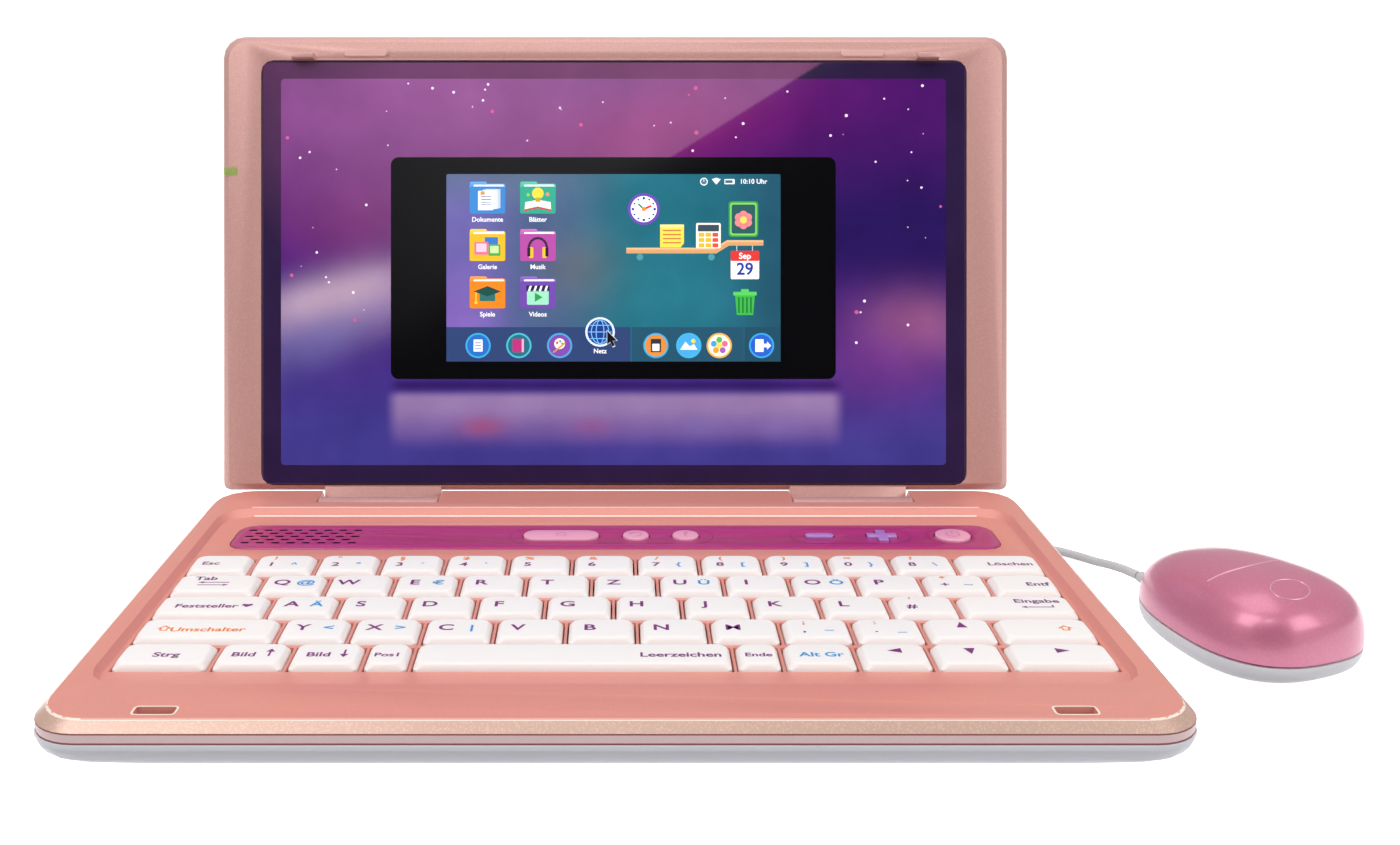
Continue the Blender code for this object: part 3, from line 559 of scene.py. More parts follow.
class Sheetwork:
    """Gathers flat shapes of one colour into one thin mesh."""

    def __init__(self) -> None:
        """Start with no shapes."""
        self.work = bmesh.new()

    def outline(self, points: list[Point], z: float) -> None:
        """Add a flat face that looks up."""
        self.work.faces.new([self.work.verts.new((x, y, z)) for x, y in points])

    def lettering(self, text: str, size: float, x: float, y: float, z: float,
                  wide: float = 1.0) -> None:
        """Add a word or a sign, centred on a point."""
        mesh = text_mesh(text, size, size * (0.004 if text == "M" else 0.022))
        mesh.transform(Matrix.Translation((x, y, z)) @ Matrix.Diagonal((wide, 1.0, 1.0, 1.0)))
        self.work.from_mesh(mesh)
        bpy.data.meshes.remove(mesh)

    def mesh(self, name: str, place: Matrix | None = None) -> bpy.types.Mesh:
        """Return the gathered shapes as a mesh, put in its place."""
        return mesh_of(name, self.work, place)


def band(sheet: Sheetwork, outer: list[Point], inner: list[Point], z: float) -> None:
    """Add the flat band between two outlines that have the same number of points."""
    for i in range(len(outer)):
        j = (i + 1) % len(outer)
        sheet.outline([outer[i], outer[j], inner[j], inner[i]], z)


def bake_nodes(piece: bpy.types.Object, tree: bpy.types.NodeTree, sizes: dict) -> None:
    """Run a Geometry Nodes tree on a piece and keep its result as a plain mesh.

    Args:
        piece: The piece, which rides on nothing yet.
        tree: The node tree.
        sizes: Values for the tree's named inputs.
    """
    step = piece.modifiers.new("nodes", "NODES")
    step.node_group = tree
    for item in tree.interface.items_tree:
        if item.item_type == "SOCKET" and item.in_out == "INPUT" and item.name in sizes:
            step[item.identifier] = sizes[item.name]
    keep_shape(piece)


def geometry_tree(name: str, sizes: dict[str, str]) -> tuple[bpy.types.NodeTree, Nodes]:
    """Start a Geometry Nodes tree with named inputs and one geometry output."""
    tree = bpy.data.node_groups.new(name, "GeometryNodeTree")
    tree.interface.new_socket("Geometry", in_out="INPUT", socket_type="NodeSocketGeometry")
    for label, kind in sizes.items():
        tree.interface.new_socket(label, in_out="INPUT", socket_type=kind)
    tree.interface.new_socket("Geometry", in_out="OUTPUT", socket_type="NodeSocketGeometry")
    return tree, Nodes(tree)


# ---- camera and light --------------------------------------------------------------------
@dataclass
class Studio:
    """The camera, the soft lamps and the floor."""

    lens: float = 37.03
    pitch: float = math.radians(74.8274)
    place: tuple[float, float, float] = (0.0, -0.3718, 0.1704)
    shift: float = 0.0604
    reach: float = 0.4769
    lamps: tuple = (
        ("key_lamp", (-0.75, -0.55, 1.05), (0.0, 0.0, 0.06), 0.8, 7.6),
        ("fill_lamp", (0.95, -0.75, 0.75), (0.05, 0.0, 0.05), 0.8, 6.2),
        ("top_lamp", (0.0, 0.15, 1.25), (0.0, 0.0, 0.0), 0.9, 4.2),
        ("front_lamp", (0.0, -0.80, 0.95), (0.0, 0.05, 0.06), 0.35, 2.0),
    )
    dark_outline: tuple = ((-0.60, -0.62), (0.60, -0.62), (0.60, 0.58), (-0.60, 0.58))
    gloss_outline: tuple = ((-0.52, -0.19), (-0.16, 0.13), (0.064, 0.271), (0.104, 0.294),
                            (0.235, 0.375), (0.30, 0.56), (-0.58, 0.56), (-0.58, -0.19))
    room_light: float = 0.5
    backdrop_light: float = 0.55

    def camera(self) -> None:
        """Place the camera."""
        data = bpy.data.cameras.new("camera")
        data.lens = self.lens
        data.sensor_fit = "HORIZONTAL"
        data.sensor_width = 36.0
        data.shift_x = self.shift
        data.clip_start = 0.01
        data.dof.use_dof = False
        camera = bpy.data.objects.new("camera", data)
        camera.location = self.place
        camera.rotation_euler = (self.pitch, 0.0, 0.0)
        bpy.context.scene.collection.objects.link(camera)
        bpy.context.scene.camera = camera

    def lamp(self, name: str, place: tuple, aim: tuple, size: float, power: float) -> None:
        """Hang one soft square lamp that faces a point."""
        data = bpy.data.lights.new(name, "AREA")
        data.shape = "SQUARE"
        data.size = size
        data.energy = power
        lamp = bpy.data.objects.new(name, data)
        lamp.location = place
        away = Vector(place) - Vector(aim)
        lamp.rotation_euler = away.to_track_quat("Z", "Y").to_euler()
        bpy.context.scene.collection.objects.link(lamp)

    def card(self, name: str, outline: tuple, distance: float, finish: object) -> None:
        """Stand a card behind the camera, parallel to the open lid, for its reflection.

        Args:
            name: The card's name.
            outline: Its outline around the camera's axis.
            distance: How far it stands in front of the lid's face.
            finish: What its material comes from.
        """
        sheet = Sheetwork()
        sheet.outline(outline, 0.0)
        axis = Vector((0.0, -math.sin(self.pitch), math.cos(self.pitch)))
        face = Vector(self.place) - axis * self.reach
        place = Matrix.Translation(face + axis * distance) @ Matrix.Rotation(self.pitch, 4, "X")
        piece = new_piece(name, sheet.mesh(name, place), "", finish, smooth=None)
        piece.visible_camera = False

    def floor(self) -> None:
        """Lay the pale floor."""
        sheet = Sheetwork()
        sheet.outline([(-3.0, -3.0), (3.0, -3.0), (3.0, 3.0), (-3.0, 3.0)], FLOOR_Z - 0.0001)
        piece = new_piece("floor", sheet.mesh("floor"), "", FLOOR_WHITE, smooth=None)
        piece.visible_diffuse = False

    def build(self) -> None:
        """Set up the camera, lamps, world and floor."""
        self.camera()
        for lamp in self.lamps:
            self.lamp(*lamp)
        self.card("dark_card", self.dark_outline, 0.97, CARD_BLACK)
        self.card("gloss_card", self.gloss_outline, 0.954, CARD_LIT)
        world = bpy.data.worlds.new("studio")
        world.use_nodes = True
        back = world.node_tree.nodes["Background"]
        back.inputs["Color"].default_value = (1.0, 1.0, 1.0, 1.0)
        kit = Nodes(world.node_tree)
        seen = kit.add("ShaderNodeLightPath")
        backdrop = kit.math("MULTIPLY", seen.outputs["Is Camera Ray"], self.backdrop_light)
        kit.join(kit.math("ADD", backdrop, self.room_light), back.inputs["Strength"])
        scene = bpy.context.scene
        scene.world = world
        scene.view_settings.view_transform = "Standard"
        self.floor()


# ---- cord --------------------------------------------------------------------------------
@dataclass
class MouseCord:
    """The soft lead: out of the relief, around the coil and on to the mouse."""

    rest: float = 0.0
    centre: tuple[float, float] = (0.072, 0.122)
    radii: tuple[float, float, float] = (0.0127, 0.0155, 0.0183)
    steps: int = 40

    def lead_route(self) -> list[tuple[float, float, float]]:
        """Return the points from the relief to the coil."""
        low = self.rest
        return [(0.1000, 0.0976, 0.0090), (0.1000, 0.1010, 0.0088), (0.0998, 0.1052, 0.0076),
                (0.0992, 0.1092, 0.0050), (0.0981, 0.1130, 0.0026),
                (0.0965, 0.1168, low + 0.0006)]

    def mouse_route(self) -> list[tuple[float, float, float]]:
        """Return the points from the coil to the mouse's tail."""
        low = self.rest
        return [(0.0860, 0.0998, low), (0.1000, 0.0992, low), (0.1150, 0.0988, low),
                (0.1290, 0.0973, low), (0.1410, 0.0944, low), (0.1500, 0.0902, low),
                (0.1560, 0.0838, low + 0.0002), (0.1594, 0.0767, low + 0.0010),
                (0.1616, 0.0700, low + 0.0024), (0.1638, 0.0633, 0.0034),
                (0.1661, 0.0571, 0.0037)]

    def coil_points(self) -> list[tuple[float, float, float]]:
        """Return the turns of the coil, two layers of three rows."""
        outer, middle, inner = self.radii[2], self.radii[1], self.radii[0]
        step_up = CORD_DIAMETER
        rows = [(outer, 0.0), (middle, 0.0), (inner, 0.0),
                (inner, step_up), (middle, step_up), (outer, step_up)]
        points = []
        start = math.radians(8.0)
        total = 2 * math.pi * len(rows) - math.radians(98.0)
        count = self.steps * len(rows)
        for index in range(count + 1):
            turn = total * index / count
            place = min(turn / (2 * math.pi), len(rows) - 1.0001)
            row = int(place)
            change = max(0.0, (place - row - 0.80) / 0.20) if row < len(rows) - 1 else 0.0
            ease = change * change * (3 - 2 * change)
            radius = rows[row][0] + (rows[min(row + 1, 5)][0] - rows[row][0]) * ease
            height = rows[row][1] + (rows[min(row + 1, 5)][1] - rows[row][1]) * ease
            angle = start + turn
            points.append((self.centre[0] + radius * math.cos(angle),
                           self.centre[1] + radius * math.sin(angle), self.rest + height))
        return points

    def path(self) -> list[Vector]:
        """Return the whole middle line at an even, fine spacing."""
        points = self.lead_route() + self.coil_points() + self.mouse_route()
        points = [Vector(point) for point in points]
        fine = []
        for i in range(len(points) - 1):
            before = points[max(i - 1, 0)]
            a, b = points[i], points[i + 1]
            after = points[min(i + 2, len(points) - 1)]
            pieces = max(1, round((b - a).length / 0.0016))
            for step in range(pieces):
                t = step / pieces
                fine.append(through(before, a, b, after, t))
        fine.append(points[-1])
        return fine

    def build(self) -> None:
        """Make the cord and its tie."""
        path = self.path()
        mesh = tube_mesh("mouse_cord", path, CORD_DIAMETER / 2)
        piece = new_piece("mouse_cord", mesh, "", CORD_GREY)
        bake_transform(piece)
        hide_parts("cord_lead", "cord_coil", "cord_to_mouse")
        relief = refined("cord_relief", CORD_GREY, 0.0003)
        self.tie()

    def tie(self) -> None:
        """Wrap the paper-covered wire tie once around the coil's left side."""
        outer = self.radii[2] + CORD_DIAMETER / 2 + 0.0004
        inner = self.radii[0] - CORD_DIAMETER / 2 - 0.0004
        middle, half = (outer + inner) / 2, (outer - inner) / 2
        low = self.rest - CORD_DIAMETER / 2 + 0.00045
        high = self.rest + CORD_DIAMETER * 1.5 + 0.0004
        points = []
        for x, z in rounded(half, (high - low) / 2, 0.0016, (0.0, (high + low) / 2), 4):
            points.append((self.centre[0] - middle + x, self.centre[1], z))
        work = bmesh.new()
        rows = []
        for offset, grow in ((-0.0012, 0.0), (0.0012, 0.0), (0.0012, 0.0005), (-0.0012, 0.0005)):
            row = []
            for x, y, z in points:
                away = Vector((x - (self.centre[0] - middle), z - (high + low) / 2))
                shift = away.normalized() * grow
                row.append(work.verts.new((x + shift[0], y + offset, z + shift[1])))
            rows.append(row)
        for low_row, high_row in zip(rows, rows[1:] + rows[:1]):
            walls(work, low_row, high_row)
        bmesh.ops.recalc_face_normals(work, faces=work.faces)
        new_piece("cord_tie", mesh_of("cord_tie", work), "base", WHITE_SHELL)


# ---- shells ------------------------------------------------------------------------------
@dataclass
class Shells:
    """The moulded covers, feet and jack with their edges softened, and the internals dressed."""

    edge: float = 0.35 * MM

    def build(self) -> None:
        """Dress every CAD node that keeps its shape."""
        for node, finish, bevel in (
                ("base_top_cover", ROSE_SHELL, self.edge),
                ("base_bottom_cover", WHITE_SHELL, 0.25 * MM),
                ("lid_front_bezel", ROSE_LID, self.edge), ("lid_back_cover", ROSE_LID, 0.5 * MM),
                ("battery_door", WHITE_SHELL, 0.2 * MM), ("battery_door_screw", STEEL, 0.1 * MM),
                ("power_jack", RUBBER, 0.15 * MM), ("mouse_cord_relief", CORD_GREY, 0.25 * MM)):
            refined(node, finish, bevel)
        for index in range(1, 5):
            refined(f"rubber_foot_{index}", RUBBER, 0.3 * MM, 20.0, 3)
        keep = {"battery_1": CELL, "battery_2": CELL, "battery_3": CELL, "battery_4": CELL,
                "main_board": BOARD, "mouse_board": BOARD, "keyboard_membrane": FILM,
                "speaker": RUBBER, "hinge_pin_left": STEEL, "hinge_pin_right": STEEL,
                "lcd_module": STEEL}
        for node, finish in keep.items():
            mesh = frame["nodes"][node].data
            for index in range(len(mesh.materials)):
                mesh.materials[index] = finish.material()


@dataclass
class BaseEdges:
    """The champagne chamfer, the skirt, painted shade lines at the seams, and painted highlights on the chamfer's
    top edge, the latch slot rims and the slope behind the keys.
    """

    half_x: float = 131.5 * MM
    half_y: float = 84.4 * MM
    chamfer: float = 2.5 * MM
    parting: float = 19.0 * MM
    lift: float = 0.03 * MM
    corner: float = 12.0 * MM
    band_end_y: float = 60.0 * MM
    latch_x: float = 103.0 * MM
    latch_reach: float = 151.5 * MM
    slope_low: Point = (61.0 * MM, 22.0 * MM)
    slope_high: Point = (64.6 * MM, DECK_Z + 0.04 * MM)
    slope_half: float = 114.4 * MM

    def ring(self, inset: float) -> list[Point]:
        """Return the base's outline at an inset, without its rear edge."""
        radius = self.corner - inset * 0.35
        points = rounded(self.half_x - inset, self.half_y - inset, radius, steps=8)
        half = len(points) // 2
        front = points[half:]
        end = self.band_end_y
        return [(front[0][0], end)] + front + [(front[-1][0], end)]

    def strip(self, name: str, low: Point, high: Point, finish: Finish) -> None:
        """Lay a band around the front and sides between two insets and heights.

        Args:
            name: The piece's name.
            low: Inset and height of its lower edge.
            high: Inset and height of its upper edge.
            finish: Its finish.
        """
        work = bmesh.new()
        rows = [[work.verts.new((x, y, z)) for x, y in self.ring(inset)]
                for inset, z in (low, high)]
        for i in range(len(rows[0]) - 1):
            work.faces.new((rows[0][i], rows[0][i + 1], rows[1][i + 1], rows[1][i]))
        new_piece(name, mesh_of(name, work), "base", finish, smooth=50.0)

    def build(self) -> None:
        """Make the bands and rims."""
        top, up = DECK_Z, self.lift
        low = top - self.chamfer
        self.strip("chamfer_band", (0.05 * MM - up, low + 0.05 * MM + up),
                   (self.chamfer - 0.35 * MM - up, top - 0.35 * MM + up), CHAMPAGNE_AND_SLOPE_HIGHLIGHT)
        # A near-white line along the chamfer's top edge: a painted highlight.
        self.strip("chamfer_light", (self.chamfer - 0.35 * MM - up, top - 0.35 * MM + up),
                   (self.chamfer + 0.10 * MM, top + up), PAINTED_EDGE_HIGHLIGHT)
        # Dark lines under the chamfer and along the parting gap: painted shade.
        self.strip("chamfer_shadow", (-up, low - 0.30 * MM), (-up, low + 0.05 * MM), PAINTED_SEAM_SHADE)
        self.strip("skirt_band", (-up, self.parting + 0.30 * MM), (-up, low - 0.30 * MM),
                   DUSTY_SKIRT)
        self.strip("parting_shadow", (-0.10 * MM, self.parting - 0.10 * MM),
                   (-up, self.parting + 0.30 * MM), PAINTED_SEAM_SHADE)
        # Light rims around the latch slots: painted highlights.
        sheet = Sheetwork()
        for side in (-1, 1):
            centre = (side * self.latch_x, HINGE_AXIS.y - self.latch_reach)
            band(sheet, rounded(5.1 * MM, 2.3 * MM, 1.3 * MM, centre),
                 rounded(4.6 * MM, 1.8 * MM, 0.8 * MM, centre), top + up)
        new_piece("latch_rim_highlights", sheet.mesh("latch_rim_highlights"), "base", PAINTED_EDGE_HIGHLIGHT, smooth=None)
        self.slope()

    def slope(self) -> None:
        """Lay painted highlight bands on the slope behind the keys: a lighter champagne band with two painted
        highlight edges.
        """
        (low_y, low_z), (high_y, high_z) = self.slope_low, self.slope_high
        # The slope is lighter where it faces the light: painted highlight bands.
        marks = ((0.06, PAINTED_SLOPE_HIGHLIGHT), (0.14, PAINTED_EDGE_HIGHLIGHT), (0.72, CHAMPAGNE_AND_SLOPE_HIGHLIGHT),
                 (0.86, ROSE_SHELL), (1.0, PAINTED_EDGE_HIGHLIGHT))
        before = 0.0
        for index, (part, finish) in enumerate(marks):
            rows = []
            for u in (before, part):
                y, z = low_y + (high_y - low_y) * u, low_z + (high_z - low_z) * u + 0.08 * MM
                half = self.slope_half + 1.6 * u * MM
                rows.append([(-half, y, z), (half, y, z)])
            mesh = bpy.data.meshes.new("slope_band")
            mesh.from_pydata(rows[0] + rows[1], [], [(0, 1, 3, 2)])
            new_piece(f"slope_band_{index + 1}", mesh, "base", finish, smooth=None)
            before = part


# ---- keyboard ----------------------------------------------------------------------------
class Ink(Enum):
    """The three colours of the key lettering."""

    PURPLE = LEGEND_PURPLE
    ORANGE = LEGEND_ORANGE
    BLUE = LEGEND_BLUE


@dataclass(frozen=True)
class Key:
    """One keycap: its CAD node, its left and right edge, its row and its lettering."""

    node: str
    left: float
    right: float
    y: float
    legends: tuple = ()


@dataclass
class Keyboard:
    """Sixty caps in five rows, with their printed lettering."""

    unit: float = 16.9 * MM
    gap: float = 1.4 * MM
    depth: float = 13.4 * MM
    pitch: float = 15.6 * MM
    first_y: float = 15.9 * MM
    left: float = -121.6 * MM
    right: float = 121.6 * MM
    taper: float = 1.15 * MM
    corner: float = 1.5 * MM
    cap_height: float = 4.0 * MM
    ink_lift: float = 0.03 * MM

    def rows(self) -> list[list[tuple[str, float | None, list]]]:
        """Return each row's keys: node, width (None fills the row) and lettering.

        Lettering is (ink, text, place along X, place along Y, size), with the places as
        parts of the cap's half width and half depth.
        """
        p, o, b = Ink.PURPLE, Ink.ORANGE, Ink.BLUE

        def pair(low: str, high: str, third: str = "") -> list:
            made = [(p, low, -0.40, -0.22, 3.9), (o, high, -0.36, 0.50, 3.3)]
            return made + ([(b, third, 0.36, -0.22, 3.6)] if third else [])

        def letter(text: str, third: str = "") -> list:
            made = [(p, text, -0.36, 0.02, 4.9)]
            return made + ([(b, third, 0.42, 0.0, 4.3)] if third else [])

        number = [("number_keys", self.unit, pair(*marks)) for marks in (
            ("1", "!", "^"), ("2", "\"", "°"), ("3", "§", "´"), ("4", "$", "`"), ("5", "%"),
            ("6", "&"), ("7", "/", "{"), ("8", "(", "["), ("9", ")", "]"), ("0", "=", "}"),
            ("ß", "?", "\\"))]
        upper = [("letter_keys_q_row", self.unit, letter(*marks)) for marks in (
            ("Q", "@"), ("W",), ("E", "€"), ("R",), ("T",), ("Z",), ("U", "Ü"), ("I",),
            ("O", "Ö"), ("P",))]
        upper.append(("letter_keys_q_row", self.unit, pair("+", "*", "~")))
        home = [("letter_keys_a_row", self.unit, letter(*marks)) for marks in (
            ("A", "Ä"), ("S",), ("D",), ("F",), ("G",), ("H",), ("J",), ("K",), ("L",))]
        home.append(("letter_keys_a_row", self.unit, pair("#", "'")))
        lower = [("letter_keys_y_row", self.unit, letter(*marks)) for marks in (
            ("Y", "<"), ("X", ">"), ("C", "|"), ("V",), ("B",), ("N",), ("M",))]
        lower += [("letter_keys_y_row", self.unit, pair(",", ";", "–")),
                  ("letter_keys_y_row", self.unit, pair(".", ":", "_"))]
        return [
            [("escape_key", self.unit, [(p, "Esc", -0.30, -0.10, 3.3)])] + number
            + [("backspace_key", None, [(p, "Löschen", 0.25, -0.18, 3.3)])],
            [("tab_key", 22.8 * MM, [(p, "Tab", -0.30, 0.45, 3.5)])] + upper
            + [("delete_key", None, [(p, "Entf", 0.38, -0.18, 3.4)])],
            [("caps_lock_key", 28.9 * MM, [(p, "Feststeller", -0.08, -0.18, 3.4)])] + home
            + [("enter_key", None, [(p, "Eingabe", 0.38, 0.32, 3.4)])],
            [("shift_left_key", 35.0 * MM, [(o, "Umschalter", 0.02, -0.18, 3.5)])] + lower
            + [("arrow_up_key", self.unit, []), ("shift_right_key", None, [])],
            [("ctrl_key", 22.8 * MM, [(p, "Strg", 0.05, -0.14, 3.5)]),
             ("page_up_key", self.unit, [(p, "Bild", -0.22, -0.12, 3.4)]),
             ("page_down_key", self.unit, [(p, "Bild", -0.22, -0.12, 3.4)]),
             ("home_key", 10.4 * MM, [(p, "Pos1", 0.0, -0.14, 2.9)]),
             ("space_key", 77.3 * MM, [(p, "Leerzeichen", 0.68, -0.14, 3.5)]),
             ("end_key", 10.4 * MM, [(p, "Ende", 0.0, -0.14, 2.9)]),
             ("alt_gr_key", self.unit, [(b, "Alt Gr", 0.04, -0.12, 3.5)]),
             ("arrow_left_key", self.unit, []), ("arrow_down_key", self.unit, []),
             ("arrow_right_key", None, [])],
        ]

    def keys(self) -> list[Key]:
        """Return all the keys in their places."""
        found = []
        for row, places in enumerate(self.rows()):
            x = self.left
            for node, width, legends in places:
                end = self.right if width is None else x + width
                found.append(Key(node, x, end, self.first_y - row * self.pitch, tuple(legends)))
                x = end + self.gap
        return found

    def cap(self, work: bmesh.types.BMesh, key: Key) -> None:
        """Add one cap with a softly rounded top edge."""
        cx, half = (key.left + key.right) / 2, (key.right - key.left) / 2
        deep = self.depth / 2
        sections = [(rounded(half, deep, self.corner, (cx, key.y), 5),
                     KEY_TOP_Z - self.cap_height)]
        sections.append((rounded(half - 0.12 * MM, deep - 0.12 * MM, self.corner, (cx, key.y), 5),
                         KEY_TOP_Z - 1.6 * MM))
        for step in range(1, 6):
            angle = math.pi / 2 * step / 5
            inset = self.taper - 0.55 * MM * math.cos(angle) + 0.30 * MM * step / 5
            rise = 0.75 * MM * (1 - math.sin(angle))
            sections.append((rounded(half - inset, deep - inset, self.corner + 0.9 * MM,
                                     (cx, key.y), 5), KEY_TOP_Z - rise))
        loft(work, sections)

    def arrow(self, sheet: Sheetwork, key: Key, turn: float, size: float = 2.1 * MM) -> None:
        """Add a solid arrow head, turned from pointing at +X."""
        cx = (key.left + key.right) / 2 + 0.6 * MM
        points = []
        for angle, reach in ((0.0, 1.0), (135.0, 0.95), (225.0, 0.95)):
            around = math.radians(angle + turn)
            points.append((cx + size * reach * math.cos(around),
                           key.y + 1.6 * MM + size * reach * math.sin(around)))
        sheet.outline(points, KEY_TOP_Z + self.ink_lift)

    def bar(self, sheet: Sheetwork, x0: float, y0: float, x1: float, y1: float) -> None:
        """Add a small straight bar between two corners."""
        sheet.outline([(x0, y0), (x1, y0), (x1, y1), (x0, y1)], KEY_TOP_Z + self.ink_lift)

    def long_arrow(self, sheet: Sheetwork, x: float, y: float, length: float, sign: int) -> None:
        """Add a thin arrow along X with a stop bar at its tip."""
        tip = x + sign * length / 2
        thin = 0.22 * MM
        self.bar(sheet, x - length / 2, y - thin, x + length / 2, y + thin)
        barb = tip - sign * 1.3 * MM
        head = [(tip, y), (barb, y + 0.75 * MM), (barb, y - 0.75 * MM)]
        sheet.outline(head if sign < 0 else list(reversed(head)), KEY_TOP_Z + 0.035 * MM)

    def shift_arrow(self, sheet: Sheetwork, x: float, y: float) -> None:
        """Add the hollow upward arrow as an outline band."""
        outer = [(0, 1.9), (2.0, 0.0), (1.0, 0.0), (1.0, -1.3), (-1.0, -1.3), (-1.0, 0.0),
                 (-2.0, 0.0)]
        inner = [(0, 1.25), (1.1, 0.35), (0.6, 0.35), (0.6, -0.9), (-0.6, -0.9), (-0.6, 0.35),
                 (-1.1, 0.35)]
        z = KEY_TOP_Z + self.ink_lift
        for i in range(len(outer)):
            j = (i + 1) % len(outer)
            quad = [outer[i], inner[i], inner[j], outer[j]]
            sheet.outline([(x + px * MM, y + py * MM) for px, py in quad], z)

    def signs(self, sheets: dict[Ink, Sheetwork], key: Key) -> None:
        """Add the drawn signs of the keys that carry one."""
        purple, orange = sheets[Ink.PURPLE], sheets[Ink.ORANGE]
        cx, half = (key.left + key.right) / 2, (key.right - key.left) / 2
        turns = {"arrow_right_key": 0.0, "arrow_up_key": 90.0, "arrow_left_key": 180.0,
                 "arrow_down_key": 270.0}
        if key.node in turns:
            self.arrow(purple, key, turns[key.node])
        elif key.node == "tab_key":
            self.long_arrow(purple, cx - 0.6 * MM, key.y + 0.2 * MM, 8.4 * MM, -1)
            self.long_arrow(purple, cx - 0.6 * MM, key.y - 1.7 * MM, 8.4 * MM, 1)
        elif key.node == "enter_key":
            self.long_arrow(purple, cx + half * 0.34, key.y - 1.9 * MM, 8.6 * MM, -1)
            x = cx + half * 0.34 + 4.3 * MM
            self.bar(purple, x - 0.4 * MM, key.y - 1.7 * MM, x, key.y - 0.5 * MM)
        elif key.node == "caps_lock_key":
            x = cx + half * 0.66
            purple.outline([(x + px * MM, key.y - 0.7 * MM + py * MM) for px, py in (
                (0, -1.2), (1.5, 0.1), (1.2, 1.0), (0, 0.7), (-1.2, 1.0), (-1.5, 0.1))],
                KEY_TOP_Z + self.ink_lift)
        elif key.node == "shift_left_key":
            self.shift_arrow(orange, cx - half * 0.62, key.y - 0.6 * MM)
        elif key.node == "shift_right_key":
            self.shift_arrow(orange, cx + half * 0.42, key.y - 0.4 * MM)
        elif key.node in ("page_up_key", "page_down_key"):
            x, up = cx + half * 0.52, 1 if key.node == "page_up_key" else -1
            y = key.y + 0.2 * MM
            self.bar(purple, x - 0.25 * MM, y - 1.9 * MM, x + 0.25 * MM, y + 1.9 * MM)
            tip = [(x, y + up * 2.4 * MM), (x - up * 1.1 * MM, y + up * 0.7 * MM),
                   (x + up * 1.1 * MM, y + up * 0.7 * MM)]
            purple.outline(tip, KEY_TOP_Z + 0.035 * MM)

    def build(self) -> None:
        """Make the caps and the lettering of every key node."""
        groups: dict[str, list[Key]] = {}
        for key in self.keys():
            groups.setdefault(key.node, []).append(key)
        for node, keys in groups.items():
            work = bmesh.new()
            for key in keys:
                self.cap(work, key)
            caps = new_piece(node + "_caps", mesh_of(node + "_caps", work), body_of(node),
                             KEY_WHITE, 35.0)
            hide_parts(node)
            sheets = {ink: Sheetwork() for ink in Ink}
            for key in keys:
                cx, half = (key.left + key.right) / 2, (key.right - key.left) / 2
                for ink, text, px, py, size in key.legends:
                    sheets[ink].lettering(text, size * MM, cx + px * half,
                                          key.y + py * self.depth / 2,
                                          KEY_TOP_Z + self.ink_lift, 1.18)
                self.signs(sheets, key)
            for ink, sheet in sheets.items():
                if len(sheet.work.verts):
                    name = f"{node}_{ink.name.lower()}_print"
                    new_piece(name, sheet.mesh(name), body_of(node), ink.value, smooth=None)


